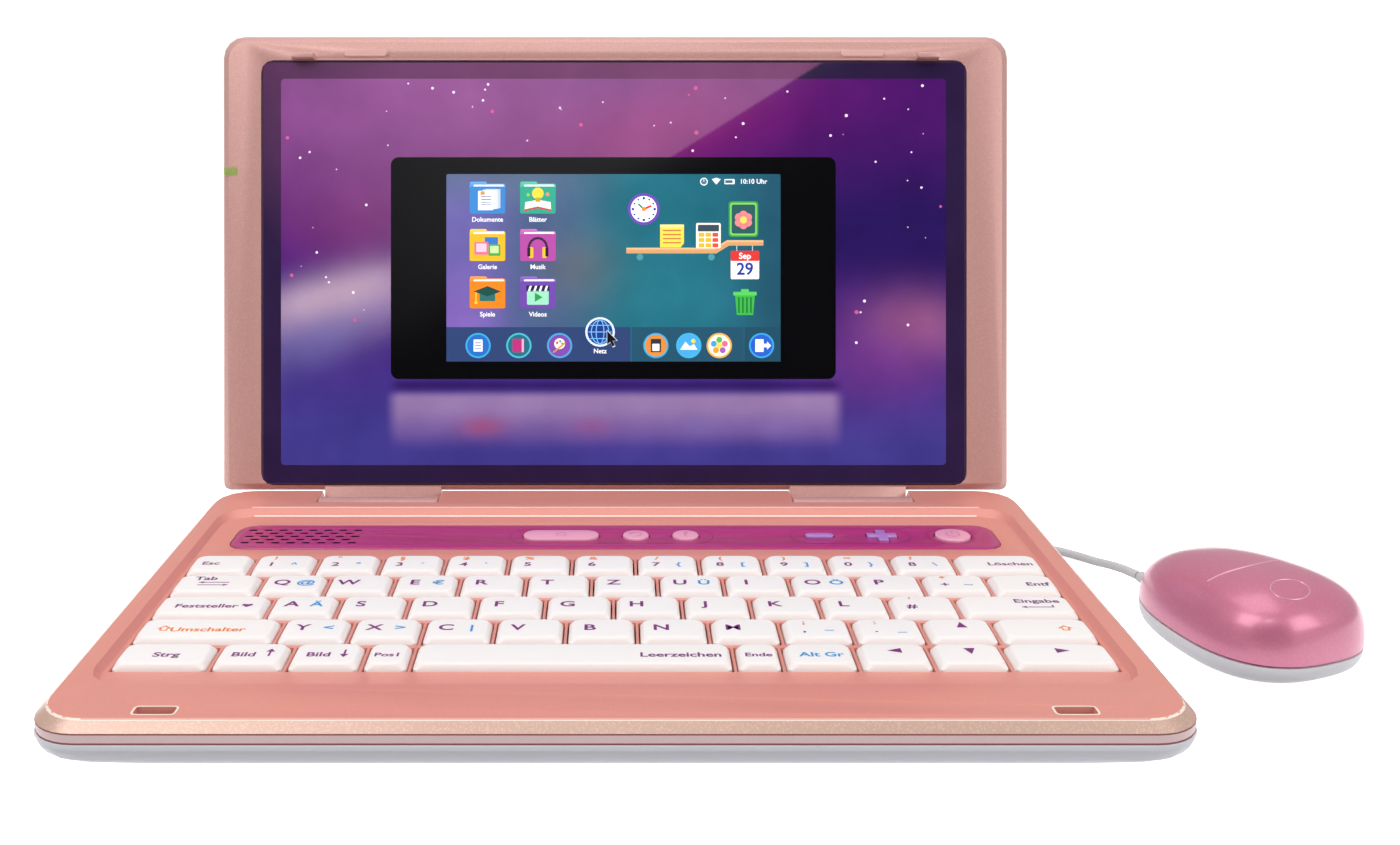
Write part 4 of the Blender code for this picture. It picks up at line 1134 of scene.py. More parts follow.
# ---- control strip -----------------------------------------------------------------------
@dataclass
class ControlStrip:
    """The magenta strip: loudspeaker slots lined with painted shade, recess lines drawn as painted shade, buttons
    and their signs.
    """

    groove: float = 0.28 * MM
    slot_x: float = -95.3 * MM
    slot_pitch: Point = (4.6 * MM, 2.8 * MM)
    slot_rows: int = 5
    slot_columns: int = 8
    slot_outline: tuple = ((1.47, 0.0), (0.88, 0.58), (-0.88, 0.58), (-1.47, 0.0),
                           (-0.88, -0.58), (0.88, -0.58))

    def build(self) -> None:
        """Dress the strip and its six buttons."""
        refined("control_strip", MAGENTA, 0.2 * MM)
        for node, finish in (("home_button", BUTTON_PINK), ("back_button", BUTTON_PINK),
                             ("help_button", BUTTON_PINK), ("power_button", BUTTON_PINK),
                             ("volume_down_button", BUTTON_LILAC),
                             ("volume_up_button", BUTTON_LILAC)):
            refined(node, finish, 0.25 * MM, 30.0, 3)
        self.grooves()
        self.signs()
        self.cloth()
        self.slot_shade()

    def grooves(self) -> None:
        """Add the recess lines around the button groups as flat darker bands: painted shade in the grooves."""
        sheet = Sheetwork()
        z = STRIP_HIGH.z + 0.02 * MM
        w = self.groove / 2
        for centre_x, half_x, half_y in ((-1.25 * MM, 30.9 * MM, 6.4 * MM),
                                         (71.5 * MM, 18.1 * MM, 6.4 * MM),
                                         (101.9 * MM, 7.0 * MM, 7.0 * MM)):
            rings = [rounded(half_x + d, half_y + d, half_y + d - 0.01 * MM,
                             (centre_x, STRIP_Y), 8) for d in (w, -w)]
            band(sheet, rings[0], rings[1], z)
        new_piece("strip_groove_shade", sheet.mesh("strip_groove_shade"), "base", MAGENTA_GROOVE_SHADE, smooth=None)

    def arc(self, sheet: Sheetwork, x: float, radii: Point, turns: range, z: float) -> None:
        """Add a curved stroke around a button's middle."""
        rows = [[(x + radius * MM * math.cos(math.radians(a)),
                  STRIP_Y + radius * MM * math.sin(math.radians(a))) for a in turns]
                for radius in radii]
        for i in range(len(turns) - 1):
            sheet.outline([rows[0][i], rows[0][i + 1], rows[1][i + 1], rows[1][i]], z)

    def signs(self) -> None:
        """Add the signs on the home, back, help and power buttons."""
        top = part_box("home_button")[1].z + 0.02 * MM
        house = Sheetwork()
        x = -16.5 * MM
        walls = [(-1.5, -1.2), (1.5, -1.2), (1.5, 0.3), (2.1, 0.3), (0.0, 1.9), (-2.1, 0.3),
                 (-1.5, 0.3)]
        inner = [(-1.1, -0.8), (1.1, -0.8), (1.1, 0.45), (1.2, 0.5), (0.0, 1.3), (-1.2, 0.5),
                 (-1.1, 0.45)]
        band(house, [(x + a * MM, STRIP_Y + b * MM) for a, b in walls],
             [(x + a * MM, STRIP_Y + b * MM) for a, b in inner], top)
        new_piece("home_sign", house.mesh("home_sign"), "home_button", SYMBOL_ROSE, smooth=None)
        back = Sheetwork()
        x = 6.2 * MM
        self.arc(back, x, (1.9, 1.45), range(-110, 151, 20), top)
        back.outline([(x - 2.4 * MM, STRIP_Y + 0.3 * MM), (x - 0.8 * MM, STRIP_Y + 0.4 * MM),
                      (x - 1.5 * MM, STRIP_Y + 1.7 * MM)], top)
        new_piece("back_sign", back.mesh("back_sign"), "back_button", SYMBOL_ROSE, smooth=None)
        question = Sheetwork()
        question.lettering("?", 5.6 * MM, 21.3 * MM, STRIP_Y, top)
        new_piece("help_sign", question.mesh("help_sign"), "help_button", SYMBOL_ROSE, smooth=None)
        switch = Sheetwork()
        x = 102.6 * MM
        self.arc(switch, x, (2.2, 1.75), range(130, 411, 20), top)
        switch.outline([(x - 0.22 * MM, STRIP_Y + 0.5 * MM), (x + 0.22 * MM, STRIP_Y + 0.5 * MM),
                        (x + 0.22 * MM, STRIP_Y + 2.6 * MM), (x - 0.22 * MM, STRIP_Y + 2.6 * MM)],
                       top)
        new_piece("power_sign", switch.mesh("power_sign"), "power_button", SYMBOL_ROSE,
                  smooth=None)

    def cloth(self) -> None:
        """Lay the dark cloth under the loudspeaker slots."""
        z = STRIP_LOW.z - 0.15 * MM
        outline = rounded(18.8 * MM, 7.2 * MM, 1.0 * MM, (-95.0 * MM, STRIP_Y))
        sections = [(outline, z - 0.1 * MM), (outline, z)]
        new_piece("speaker_cloth", loft_mesh("speaker_cloth", [sections]), "base", GRILLE_CLOTH_AND_SLOT_SHADE,
                  smooth=None)

    def slot_shade(self) -> None:
        """Line each loudspeaker slot with a thin dark wall: painted shade inside the slots."""
        work = bmesh.new()
        for row in range(self.slot_rows):
            columns = self.slot_columns - row % 2
            for column in range(columns):
                x = self.slot_x + (column - (columns - 1) / 2) * self.slot_pitch[0]
                y = STRIP_Y + (row - (self.slot_rows - 1) / 2) * self.slot_pitch[1]
                high, low = [[work.verts.new((x + a * MM, y + b * MM, z))
                              for a, b in self.slot_outline]
                             for z in (STRIP_HIGH.z - 0.02 * MM, STRIP_LOW.z)]
                walls(work, high, low)
        new_piece("speaker_slot_shade", mesh_of("speaker_slot_shade", work), "base", GRILLE_CLOTH_AND_SLOT_SHADE,
                  smooth=None)


# ---- lid face ----------------------------------------------------------------------------
def glow(x: np.ndarray, t: np.ndarray, place: Point, spread: Point,
         turn: float = 0.0) -> np.ndarray:
    """Return a soft round glow over the lid's face.

    Args:
        x: Places across the lid in millimetres.
        t: Places up the lid in millimetres.
        place: The glow's centre.
        spread: Its half widths along its own two directions.
        turn: How far it is turned, in degrees.
    Returns:
        The strength, from 0 to 1.
    """
    c, s = math.cos(math.radians(turn)), math.sin(math.radians(turn))
    dx, dt = x - place[0], t - place[1]
    along, across = dx * c + dt * s, -dx * s + dt * c
    return np.exp(-(along / spread[0]) ** 2 - (across / spread[1]) ** 2)


def ramp(value: np.ndarray, low: float, high: float) -> np.ndarray:
    """Return a smooth rise from 0 at low to 1 at high."""
    part = np.clip((value - low) / (high - low), 0.0, 1.0)
    return part * part * (3 - 2 * part)


def paint(color: np.ndarray, code: str, part: np.ndarray) -> np.ndarray:
    """Return colours moved towards one colour by a part from 0 to 1."""
    return color + (np.array(linear(code)) - color) * np.clip(part, 0, 1)[:, None]


def painted_gloss_reflection(x: np.ndarray, t: np.ndarray) -> np.ndarray:
    """Return the strength of the painted diagonal reflection in the window's upper left."""
    above = ramp(t - (74.0 + 0.6255 * (x + 53.2)), -0.4, 0.4)
    return above * np.clip(1.0 - np.exp(-(x + (t - 74.0) * 0.8 + 100.0) / 90.0), 0.0, 1.0)


def border(x: np.ndarray, t: np.ndarray) -> np.ndarray:
    """Return the window border's colours: dark violet with the painted diagonal reflection."""
    # Above the diagonal the border turns pink: a painted reflection.
    return paint(np.tile(np.array(linear("32214A")), (len(x), 1)), "8A4A7E", painted_gloss_reflection(x, t))


def night_sky(x: np.ndarray, t: np.ndarray) -> np.ndarray:
    """Return the night sky's colours: violet above, indigo below, with soft glows and a painted diagonal
    reflection in the upper left.
    """
    color = np.tile(np.array(linear("4A2484")), (len(x), 1))
    color = paint(color, "46409A", ramp(-t, -70.0, -22.0))
    color = paint(color, "2C1862", ramp(x, 20.0, 70.0) * ramp(t, 60.0, 90.0))
    color = paint(color, "531873", ramp(t, 95.0, 140.0) * ramp(x, 0.0, 60.0))
    color = paint(color, "6B2A80", ramp(t, 75.0, 105.0) * ramp(-x, -10.0, 40.0))
    color = paint(color, "7E3A88", ramp(t, 85.0, 140.0) * ramp(-x, -10.0, 70.0))
    color = paint(color, "8E1C78", 0.95 * glow(x, t, (12.0, 128.0), (46.0, 20.0), 18.0))
    color = paint(color, "9A4A9C", 0.6 * glow(x, t, (-55.0, 138.0), (60.0, 14.0), 5.0))
    color = paint(color, "7C1E6E", 0.5 * glow(x, t, (-85.0, 96.0), (24.0, 16.0), 20.0))
    color = paint(color, "A58FC0", 0.85 * glow(x, t, (-92.0, 68.0), (30.0, 10.0), 14.0))
    color = paint(color, "D9BCD0", 0.75 * glow(x, t, (-94.0, 73.0), (26.0, 7.0), 16.0))
    color = paint(color, "6E70B4", 0.5 * glow(x, t, (-100.0, 57.0), (20.0, 8.0), 20.0))
    color = paint(color, "B06C94", 0.95 * glow(x, t, (99.0, 62.0), (17.0, 11.0)))
    color = paint(color, "7A3A96", 0.7 * glow(x, t, (88.0, 52.0), (26.0, 16.0)))
    inside = ramp(x, -76.5, -71.0) * ramp(-x, -76.5, -71.0)
    color = paint(color, "B496C6", 0.72 * inside * ramp(t, 22.0, 37.0) * ramp(-t, -42.0, -38.5))
    color = paint(color, "8C6AB8", 0.30 * inside * ramp(t, 20.0, 28.0) * ramp(-t, -38.0, -28.0))
    color = paint(color, "32135E", 0.75 * inside * glow(x, t, (0.0, 43.2), (400.0, 1.6)))
    for place, code, part in ((-44.0, "C0506E", 0.5), (-8.0, "B65A8A", 0.3), (28.0, "7A70B8", 0.4),
                              (52.0, "8C7AC0", 0.4)):
        color = paint(color, code, part * glow(x, t, (place, 29.5), (7.0, 3.2)))
    # Above the diagonal the sky is lightened: a painted reflection.
    return paint(color, "F4B8DC", 0.16 * painted_gloss_reflection(x, t))


def desktop(x: np.ndarray, t: np.ndarray) -> np.ndarray:
    """Return the display's background: violet on the left, teal on the right."""
    color = np.tile(np.array(linear("226A7C")), (len(x), 1))
    color = paint(color, "24566C", ramp(x, 25.0, 55.0))
    color = paint(color, "4A6088", ramp(-x, -5.0, 25.0))
    color = paint(color, "6A62A8", ramp(-x, 25.0, 50.0))
    color = paint(color, "7A60B0", ramp(-x, 30.0, 54.0) * ramp(-t, -95.0, -65.0))
    color = paint(color, "56707E", 0.6 * ramp(t, 98.0, 114.0) * ramp(-x, -10.0, 40.0))
    color = paint(color, "6E665A", 0.45 * glow(x, t, (-12.0, 82.0), (14.0, 12.0)))
    color = paint(color, "2A7F90", 0.5 * glow(x, t, (16.0, 76.0), (18.0, 20.0)))
    return color


def picture_piece(name: str, low: Point, high: Point, corner: float, z: float, pitch: float,
                  colours: object, finish: PaintedPrint, slot: str | None) -> bpy.types.Object:
    """Make a flat picture on the lid whose colours sit in its mesh.

    Args:
        name: The piece's name.
        low: Its lower left corner in millimetres.
        high: Its upper right corner.
        corner: The radius of its corners.
        z: Its height in the lid's own space.
        pitch: The size of its grid.
        colours: A function from places to linear colours.
        finish: The material.
        slot: The record's material slot; not used.
    Returns:
        The piece.
    """
    nx = round((high[0] - low[0]) / pitch) + 1
    nt = round((high[1] - low[1]) / pitch) + 1
    x, t = np.meshgrid(np.linspace(low[0], high[0], nx), np.linspace(low[1], high[1], nt))
    x, t = x.ravel(), t.ravel()
    cx = np.clip(x, low[0] + corner, high[0] - corner)
    ct = np.clip(t, low[1] + corner, high[1] - corner)
    dx, dt = x - cx, t - ct
    far = np.maximum(np.hypot(dx, dt), 1e-9)
    pull = np.where(far > corner, corner / far, 1.0)
    x, t = cx + dx * pull, ct + dt * pull
    faces = [(j * nx + i, j * nx + i + 1, (j + 1) * nx + i + 1, (j + 1) * nx + i)
             for j in range(nt - 1) for i in range(nx - 1)]
    mesh = bpy.data.meshes.new(name)
    mesh.from_pydata([(a * MM, b * MM, z) for a, b in zip(x, t)], [], faces)
    layer = mesh.color_attributes.new("print", "FLOAT_COLOR", "POINT")
    rgba = np.ones((len(x), 4), dtype=np.float32)
    rgba[:, :3] = colours(x, t)
    layer.data.foreach_set("color", rgba.ravel())
    mesh.transform(LID_PLACE)
    return new_piece(name, mesh, "lid", finish, smooth=None)


@dataclass
class LidFace:
    """The printed window, the black display frame, the lit picture and small mouldings."""

    pane: float = LID_FACE - 0.20 * MM
    step: float = 0.02 * MM
    middle: Point = (-0.5 * MM, 80.4 * MM)
    half_x: float = 116.6 * MM
    half_t: float = 70.1 * MM
    border_box: tuple = ((-116.6, 10.8), (115.6, 150.0))
    sky_box: tuple = ((-110.8, 16.7), (109.5, 144.7))
    display_box: tuple = ((-56.0, 51.0), (54.7, 113.1))

    def build(self) -> None:
        """Make every layer of the window."""
        ease = 0.4 * MM
        outline = rounded(self.half_x, self.half_t, 2.6 * MM, self.middle)
        back = self.pane - 1.0 * MM
        inner = rounded(self.half_x - ease, self.half_t - ease, 2.3 * MM, self.middle)
        mesh = loft_mesh("window_pane", [[(outline, back), (outline, self.pane - 0.25 * MM),
                                          (inner, self.pane)]], LID_PLACE)
        pane = new_piece("window_pane", mesh, "lid", WINDOW_BORDER, 20.0)
        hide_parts("screen_window")
        picture_piece("border_print_and_reflection", *self.border_box, 2.2, self.pane + 0.4 * self.step, 0.8,
                      border, BORDER_PRINT_AND_REFLECTION, "window")
        picture_piece("sky_print_glow_and_reflection", *self.sky_box, 1.2, self.pane + self.step, 0.8, night_sky,
                      SKY_PRINT_GLOW_AND_REFLECTION, None)
        frame_outline = rounded(73.7 * MM, 36.75 * MM, 2.6 * MM, (-0.7 * MM, 81.95 * MM), 8)
        layers = [(frame_outline, self.pane + self.step * n) for n in (1, 2)]
        mesh = loft_mesh("display_frame", [layers], LID_PLACE)
        new_piece("display_frame", mesh, "lid", DISPLAY_BLACK, None)
        picture_piece("display_picture", *self.display_box, 0.3, self.pane + 3 * self.step, 0.9,
                      desktop, DISPLAY_LIT, "display")
        self.stars()
        self.mouldings()

    def stars(self) -> None:
        """Scatter small stars over the sky with a node tree and a fixed seed."""
        tree, kit = geometry_tree("Star Scatter", {
            "Seed": "NodeSocketInt", "Density": "NodeSocketFloat", "Radius": "NodeSocketFloat",
            "Material": "NodeSocketMaterial"})
        given, out = kit.add("NodeGroupInput"), kit.add("NodeGroupOutput")
        spread = kit.add("GeometryNodeDistributePointsOnFaces")
        kit.join(given.outputs["Geometry"], spread.inputs["Mesh"])
        kit.join(given.outputs["Density"], spread.inputs["Density"])
        kit.join(given.outputs["Seed"], spread.inputs["Seed"])
        dot = kit.add("GeometryNodeMeshCircle", fill_type="NGON")
        dot.inputs["Vertices"].default_value = 10
        kit.join(given.outputs["Radius"], dot.inputs["Radius"])
        size = kit.add("FunctionNodeRandomValue", data_type="FLOAT")
        size.inputs["Min"].default_value = 0.35
        size.inputs["Max"].default_value = 1.25
        kit.join(given.outputs["Seed"], size.inputs["Seed"])
        place = kit.add("GeometryNodeInstanceOnPoints")
        kit.join(spread.outputs["Points"], place.inputs["Points"])
        kit.join(dot.outputs["Mesh"], place.inputs["Instance"])
        kit.join(size.outputs["Value"], place.inputs["Scale"])
        real = kit.add("GeometryNodeRealizeInstances")
        kit.join(place.outputs["Instances"], real.inputs["Geometry"])
        dress = kit.add("GeometryNodeSetMaterial")
        kit.join(real.outputs["Geometry"], dress.inputs["Geometry"])
        kit.join(given.outputs["Material"], dress.inputs["Material"])
        kit.join(dress.outputs["Geometry"], out.inputs["Geometry"])
        for name, seed, density, radius, finish in (
                ("stars_white", 11, 5200.0, 0.42 * MM, STAR_WHITE),
                ("stars_rose", 29, 1500.0, 0.62 * MM, STAR_ROSE)):
            ground = Sheetwork()
            for x0, x1, t0, t1 in ((-109.0, 108.0, 120.5, 143.5), (-109.0, -76.0, 60.0, 120.5),
                                   (75.0, 108.0, 56.0, 120.5)):
                ground.outline([(x0 * MM, t0 * MM), (x1 * MM, t0 * MM), (x1 * MM, t1 * MM),
                                (x0 * MM, t1 * MM)], 0.0)
            piece = bpy.data.objects.new(name, ground.mesh(name))
            bpy.context.scene.collection.objects.link(piece)
            bake_nodes(piece, tree, {"Seed": seed, "Density": density, "Radius": radius,
                                     "Material": finish.material()})
            mesh = piece.data
            mesh.transform(LID_PLACE @ Matrix.Translation((0, 0, self.pane + 1.6 * self.step)))
            bpy.data.objects.remove(piece)
            new_piece(name, mesh, "lid", finish, smooth=None)

    def mouldings(self) -> None:
        """Add the two bumper pads and the small green inlay at the lid's left edge."""
        bodies = []
        for x0, x1 in ((-89.9, -75.7), (74.7, 88.9)):
            centre = ((x0 + x1) / 2 * MM, 153.1 * MM)
            half = (x1 - x0) / 2 * MM
            bodies.append([(rounded(half, 1.2 * MM, 0.9 * MM, centre), LID_FACE - 0.1 * MM),
                           (rounded(half, 1.2 * MM, 0.9 * MM, centre), LID_FACE + 0.35 * MM),
                           (rounded(half - 0.3 * MM, 0.9 * MM, 0.7 * MM, centre),
                            LID_FACE + 0.6 * MM)])
        mesh = loft_mesh("bumper_pads", bodies, LID_PLACE)
        new_piece("bumper_pads", mesh, "lid", PAD_ROSE, smooth=30.0)
        bodies = []
        for index in range(4):
            centre = ((-129.2 + index * 1.15) * MM, 114.0 * MM)
            outline = rounded(0.45 * MM, 1.3 * MM, 0.15 * MM, centre)
            bodies.append([(outline, LID_FACE - 0.1 * MM), (outline, LID_FACE + 0.15 * MM)])
        mesh = loft_mesh("edge_inlay", bodies, LID_PLACE)
        new_piece("edge_inlay", mesh, "lid", INLAY_GREEN, smooth=None)


# ---- display picture ---------------------------------------------------------------------
class Interface:
    """Draws the display's icons as thin coloured shapes, in millimetres on the lid."""

    def __init__(self, floor: float) -> None:
        """Start drawing at a height in the lid's own space."""
        self.floor = floor
        self.rise = 0.008 * MM
        self.sheets: dict[str, Sheetwork] = {}

    def shape(self, color: str, points: list[Point], layer: int = 1) -> None:
        """Add a flat shape from points in millimetres."""
        sheet = self.sheets.setdefault(color, Sheetwork())
        sheet.outline([(x * MM, t * MM) for x, t in points], self.floor + layer * self.rise)

    def disc(self, color: str, x: float, t: float, radius: float, layer: int = 1) -> None:
        """Add a filled circle."""
        self.shape(color, ring(radius, (x, t), 28), layer)

    def box(self, color: str, x: float, t: float, half_x: float, half_t: float,
            corner: float = 0.3, layer: int = 1) -> None:
        """Add a rounded box."""
        self.shape(color, rounded(half_x, half_t, corner, (x, t), 3), layer)

    def stroke(self, color: str, a: Point, b: Point, width: float, layer: int = 1) -> None:
        """Add a straight line of a given width."""
        along = Vector((b[0] - a[0], b[1] - a[1])).normalized()
        side = Vector((-along.y, along.x)) * width / 2
        self.shape(color, [(a[0] - side.x, a[1] - side.y), (b[0] - side.x, b[1] - side.y),
                           (b[0] + side.x, b[1] + side.y), (a[0] + side.x, a[1] + side.y)], layer)

    def word(self, color: str, text: str, x: float, t: float, size: float, layer: int = 1) -> None:
        """Add a word."""
        sheet = self.sheets.setdefault(color, Sheetwork())
        sheet.lettering(text, size * MM, x * MM, t * MM, self.floor + layer * self.rise)

    def folder(self, color: str, tab: str, x: float, t: float, label: str) -> None:
        """Add a folder with its tab and its label."""
        self.box(tab, x - 3.0, t + 4.6, 2.8, 1.2, 0.5)
        self.box(tab, x, t + 0.6, 5.9, 4.5, 0.6)
        self.box("F2F4F8", x + 0.4, t + 1.2, 5.0, 3.6, 0.3, 2)
        self.box(color, x, t - 0.3, 5.9, 4.5, 0.6, 3)
        self.word("F4F4FA", label, x, t - 6.8, 2.15, 2)

    def finish(self) -> None:
        """Turn every colour's shapes into a piece on the lid."""
        for color, sheet in self.sheets.items():
            name = "display_ink_" + color.lower()
            new_piece(name, sheet.mesh(name, LID_PLACE), "lid",
                      ScreenColour("display " + color.lower(), color), smooth=None)


@dataclass
class DesktopPicture:
    """The desktop on the display: folders, shelf, clock, calendar, bin and task bar."""

    floor: float = LID_FACE - 0.20 * MM + 0.068 * MM

    def build(self) -> None:
        """Draw the whole desktop."""
        art = Interface(self.floor)
        self.folders(art)
        self.shelf(art)
        self.right_side(art)
        self.task_bar(art)
        art.finish()

    def folders(self, art: Interface) -> None:
        """Draw the six folders and their pictures."""
        left, right = -42.4, -25.7
        rows = (104.8, 89.1, 73.4)
        art.folder("3F86CC", "68A8E2", left, rows[0], "Dokumente")
        art.folder("35A58C", "5CC4A8", right, rows[0], "Blätter")
        art.folder("EBB92A", "F6D05A", left, rows[1], "Galerie")
        art.folder("B04CA0", "CC70BC", right, rows[1], "Musik")
        art.folder("EC8420", "F8A048", left, rows[2], "Spiele")
        art.folder("6E48A8", "8C68C4", right, rows[2], "Videos")
        x, t = left, rows[0]
        for dx, ink in ((1.8, "C4CCD8"), (0.9, "DCE2EA"), (-0.6, "FFFFFF")):
            art.box(ink, x + dx, t - 0.3 + dx * 0.25, 2.5, 3.2, 0.2, 4 if dx > 1 else 5)
        for row in range(4):
            art.box("6A7484", x - 0.4, t + 0.8 - row * 0.9, 1.7, 0.16, 0.05, 6)
        art.box("E8943A", x - 1.6, t + 2.0, 0.7, 0.6, 0.1, 6)
        x, t = right, rows[0]
        art.shape("F4EFE6", [(x - 4.4, t - 3.4), (x, t - 2.4), (x + 4.4, t - 3.4), (x + 4.2,
                                                                                    t - 1.0),
                             (x, t - 0.2), (x - 4.2, t - 1.0)], 4)
        art.stroke("C8404A", (x - 4.5, t - 3.8), (x, t - 2.8), 0.5, 5)
        art.stroke("C8404A", (x, t - 2.8), (x + 4.5, t - 3.8), 0.5, 5)
        art.disc("F8D848", x, t + 1.9, 1.9, 5)
        art.box("C8A030", x, t - 0.2, 0.8, 0.7, 0.2, 6)
        art.disc("7ED04A", x - 3.2, t + 1.4, 0.6, 5)
        art.disc("F0905A", x + 3.2, t + 1.6, 0.6, 5)
        x, t = left, rows[1]
        art.box("3A78C8", x + 1.3, t + 1.5, 2.2, 1.6, 0.2, 4)
        art.box("F07098", x - 2.0, t - 0.6, 2.3, 2.1, 0.3, 5)
        art.box("F8C8D8", x - 2.0, t - 0.4, 1.7, 1.4, 0.2, 6)
        art.box("58A848", x + 2.3, t - 1.2, 2.0, 1.9, 0.3, 5)
        art.box("C8E8A8", x + 2.3, t - 1.0, 1.4, 1.2, 0.2, 6)
        x, t = right, rows[1]
        for i in range(10):
            a, b = math.pi * i / 10, math.pi * (i + 1) / 10
            art.stroke("3C2440", (x + 3.0 * math.cos(a), t - 0.4 + 3.2 * math.sin(a)),
                       (x + 3.0 * math.cos(b), t - 0.4 + 3.2 * math.sin(b)), 0.8, 4)
        for side in (-1, 1):
            art.box("F0C030", x + side * 2.2, t - 2.0, 0.7, 1.8, 0.3, 5)
            art.box("2C1C34", x + side * 3.0, t - 1.8, 0.5, 1.5, 0.2, 6)
        x, t = left, rows[2]
        art.shape("1E4C46", [(x - 4.6, t + 0.8), (x, t - 0.8), (x + 4.6, t + 0.8), (x, t + 2.6)], 5)
        art.shape("2E6E66", [(x - 2.6, t - 2.4), (x + 2.6, t - 2.4), (x + 2.6, t), (x - 2.6, t)], 4)
        art.stroke("F0D040", (x - 3.8, t + 0.6), (x - 3.8, t - 2.6), 0.35, 6)
        art.disc("F0D040", x - 3.8, t - 2.9, 0.5, 6)
        x, t = right, rows[2]
        art.box("9CE0C0", x, t - 1.2, 3.6, 2.4, 0.5, 4)
        art.box("26264A", x, t + 1.8, 3.8, 1.0, 0.2, 4)
        for i in range(4):
            c = x - 2.8 + i * 1.8
            art.shape("F4F4F8", [(c - 0.5, t + 0.9), (c + 0.2, t + 0.9), (c + 0.8, t + 2.7),
                                 (c + 0.1, t + 2.7)], 5)
        art.shape("2C9C50", [(x - 1.0, t - 2.6), (x + 1.6, t - 1.1), (x - 1.0, t + 0.4)], 5)

    def shelf(self, art: Interface) -> None:
        """Draw the shelf, the clock, the note and the calculator."""
        art.shape("D6A06A", [(3.6, 86.8), (33.4, 86.8), (37.6, 89.4), (49.0, 89.4), (49.0, 91.2),
                             (37.0, 91.2), (32.8, 88.7), (3.6, 88.7)], 1)
        art.shape("E8BC8C", [(3.6, 88.1), (32.8, 88.1), (37.0, 90.6), (49.0, 90.6), (49.0, 91.2),
                             (37.0, 91.2), (32.8, 88.7), (3.6, 88.7)], 2)
        for x in (8.1, 31.8):
            art.disc("4A98A0", x, 85.6, 1.1, 1)
        art.disc("6A4AB0", 9.4, 101.5, 5.3, 1)
        art.disc("FBFBFF", 9.4, 101.5, 4.35, 2)
        for i in range(12):
            a = math.radians(30 * i)
            art.disc("2A4C98", 9.4 + 3.6 * math.cos(a), 101.5 + 3.6 * math.sin(a),
                     0.32 if i % 3 else 0.45, 3)
        art.stroke("E0402A", (9.4, 101.5), (11.9, 102.6), 0.7, 4)
        art.stroke("2A8C4A", (9.4, 101.5), (7.6, 103.2), 0.6, 4)
        art.disc("F09030", 9.4, 101.5, 0.7, 5)
        art.shape("F0DC50", [(14.8, 88.8), (21.6, 88.8), (22.7, 90.2), (22.7, 96.4), (14.8,
                                                                                      96.4)], 2)
        art.shape("F8EC90", [(14.8, 95.4), (22.7, 95.4), (22.7, 96.4), (14.8, 96.4)], 3)
        for row in range(4):
            art.box("C86848", 18.7, 94.4 - row * 1.35, 3.0, 0.2, 0.08, 3)
        art.box("F4F0E8", 30.8, 92.7, 4.1, 4.2, 0.5, 2)
        art.box("3A4A58", 30.8, 95.2, 3.5, 1.1, 0.2, 3)
        for row in range(3):
            for column in range(3):
                ink = "E8B830" if column < 2 else "E05040"
                art.box(ink, 28.5 + column * 2.3, 93.0 - row * 1.75, 0.95, 0.65, 0.2, 3)

    def right_side(self, art: Interface) -> None:
        """Draw the picture frame, the calendar, the bin and the status line."""
        art.box("3CA048", 42.4, 98.2, 4.9, 5.9, 1.0, 1)
        art.box("7CD060", 42.4, 98.2, 4.4, 5.4, 0.8, 2)
        art.box("2A5A5C", 42.4, 98.2, 3.9, 4.8, 0.6, 3)
        for i in range(6):
            a = math.radians(60 * i + 30)
            art.disc("F08A90", 42.4 + 1.7 * math.cos(a), 97.9 + 1.7 * math.sin(a), 1.35, 4)
        art.disc("F8D860", 42.4, 97.9, 1.2, 5)
        for x in (40.2, 45.4):
            art.stroke("B8C8D0", (x, 87.6), (x, 89.4), 0.3, 2)
        art.box("FBFBFD", 42.9, 82.9, 4.7, 4.6, 0.4, 1)
        art.box("D83A34", 42.9, 86.0, 4.7, 1.7, 0.4, 2)
        art.word("FBFBFD", "Sep", 42.9, 85.9, 2.8, 3)
        art.word("26409C", "29", 42.9, 81.5, 5.6, 3)
        art.shape("3FB24A", [(40.2, 66.4), (45.6, 66.4), (46.2, 73.0), (39.6, 73.0)], 1)
        art.box("58CC5E", 42.9, 73.5, 3.9, 0.6, 0.2, 2)
        art.box("58CC5E", 42.9, 74.5, 1.3, 0.5, 0.2, 2)
        for i in range(4):
            art.box("1E7C34", 40.9 + i * 1.33, 69.7, 0.28, 2.6, 0.1, 3)
        art.disc("E8F0F4", 29.3, 110.6, 1.3, 1)
        art.disc("4A7890", 29.3, 110.6, 0.95, 2)
        art.stroke("E8F0F4", (29.3, 110.6), (29.3, 111.3), 0.25, 3)
        art.shape("E8F0F4", [(33.4, 109.6), (34.9, 111.4), (33.4, 111.9), (31.9, 111.4)], 1)
        art.box("E8F0F4", 37.8, 110.6, 1.7, 0.85, 0.2, 1)
        art.box("3A6878", 37.6, 110.6, 1.2, 0.45, 0.1, 2)
        art.word("F0F4F8", "10:10 Uhr", 45.7, 110.6, 2.2, 1)

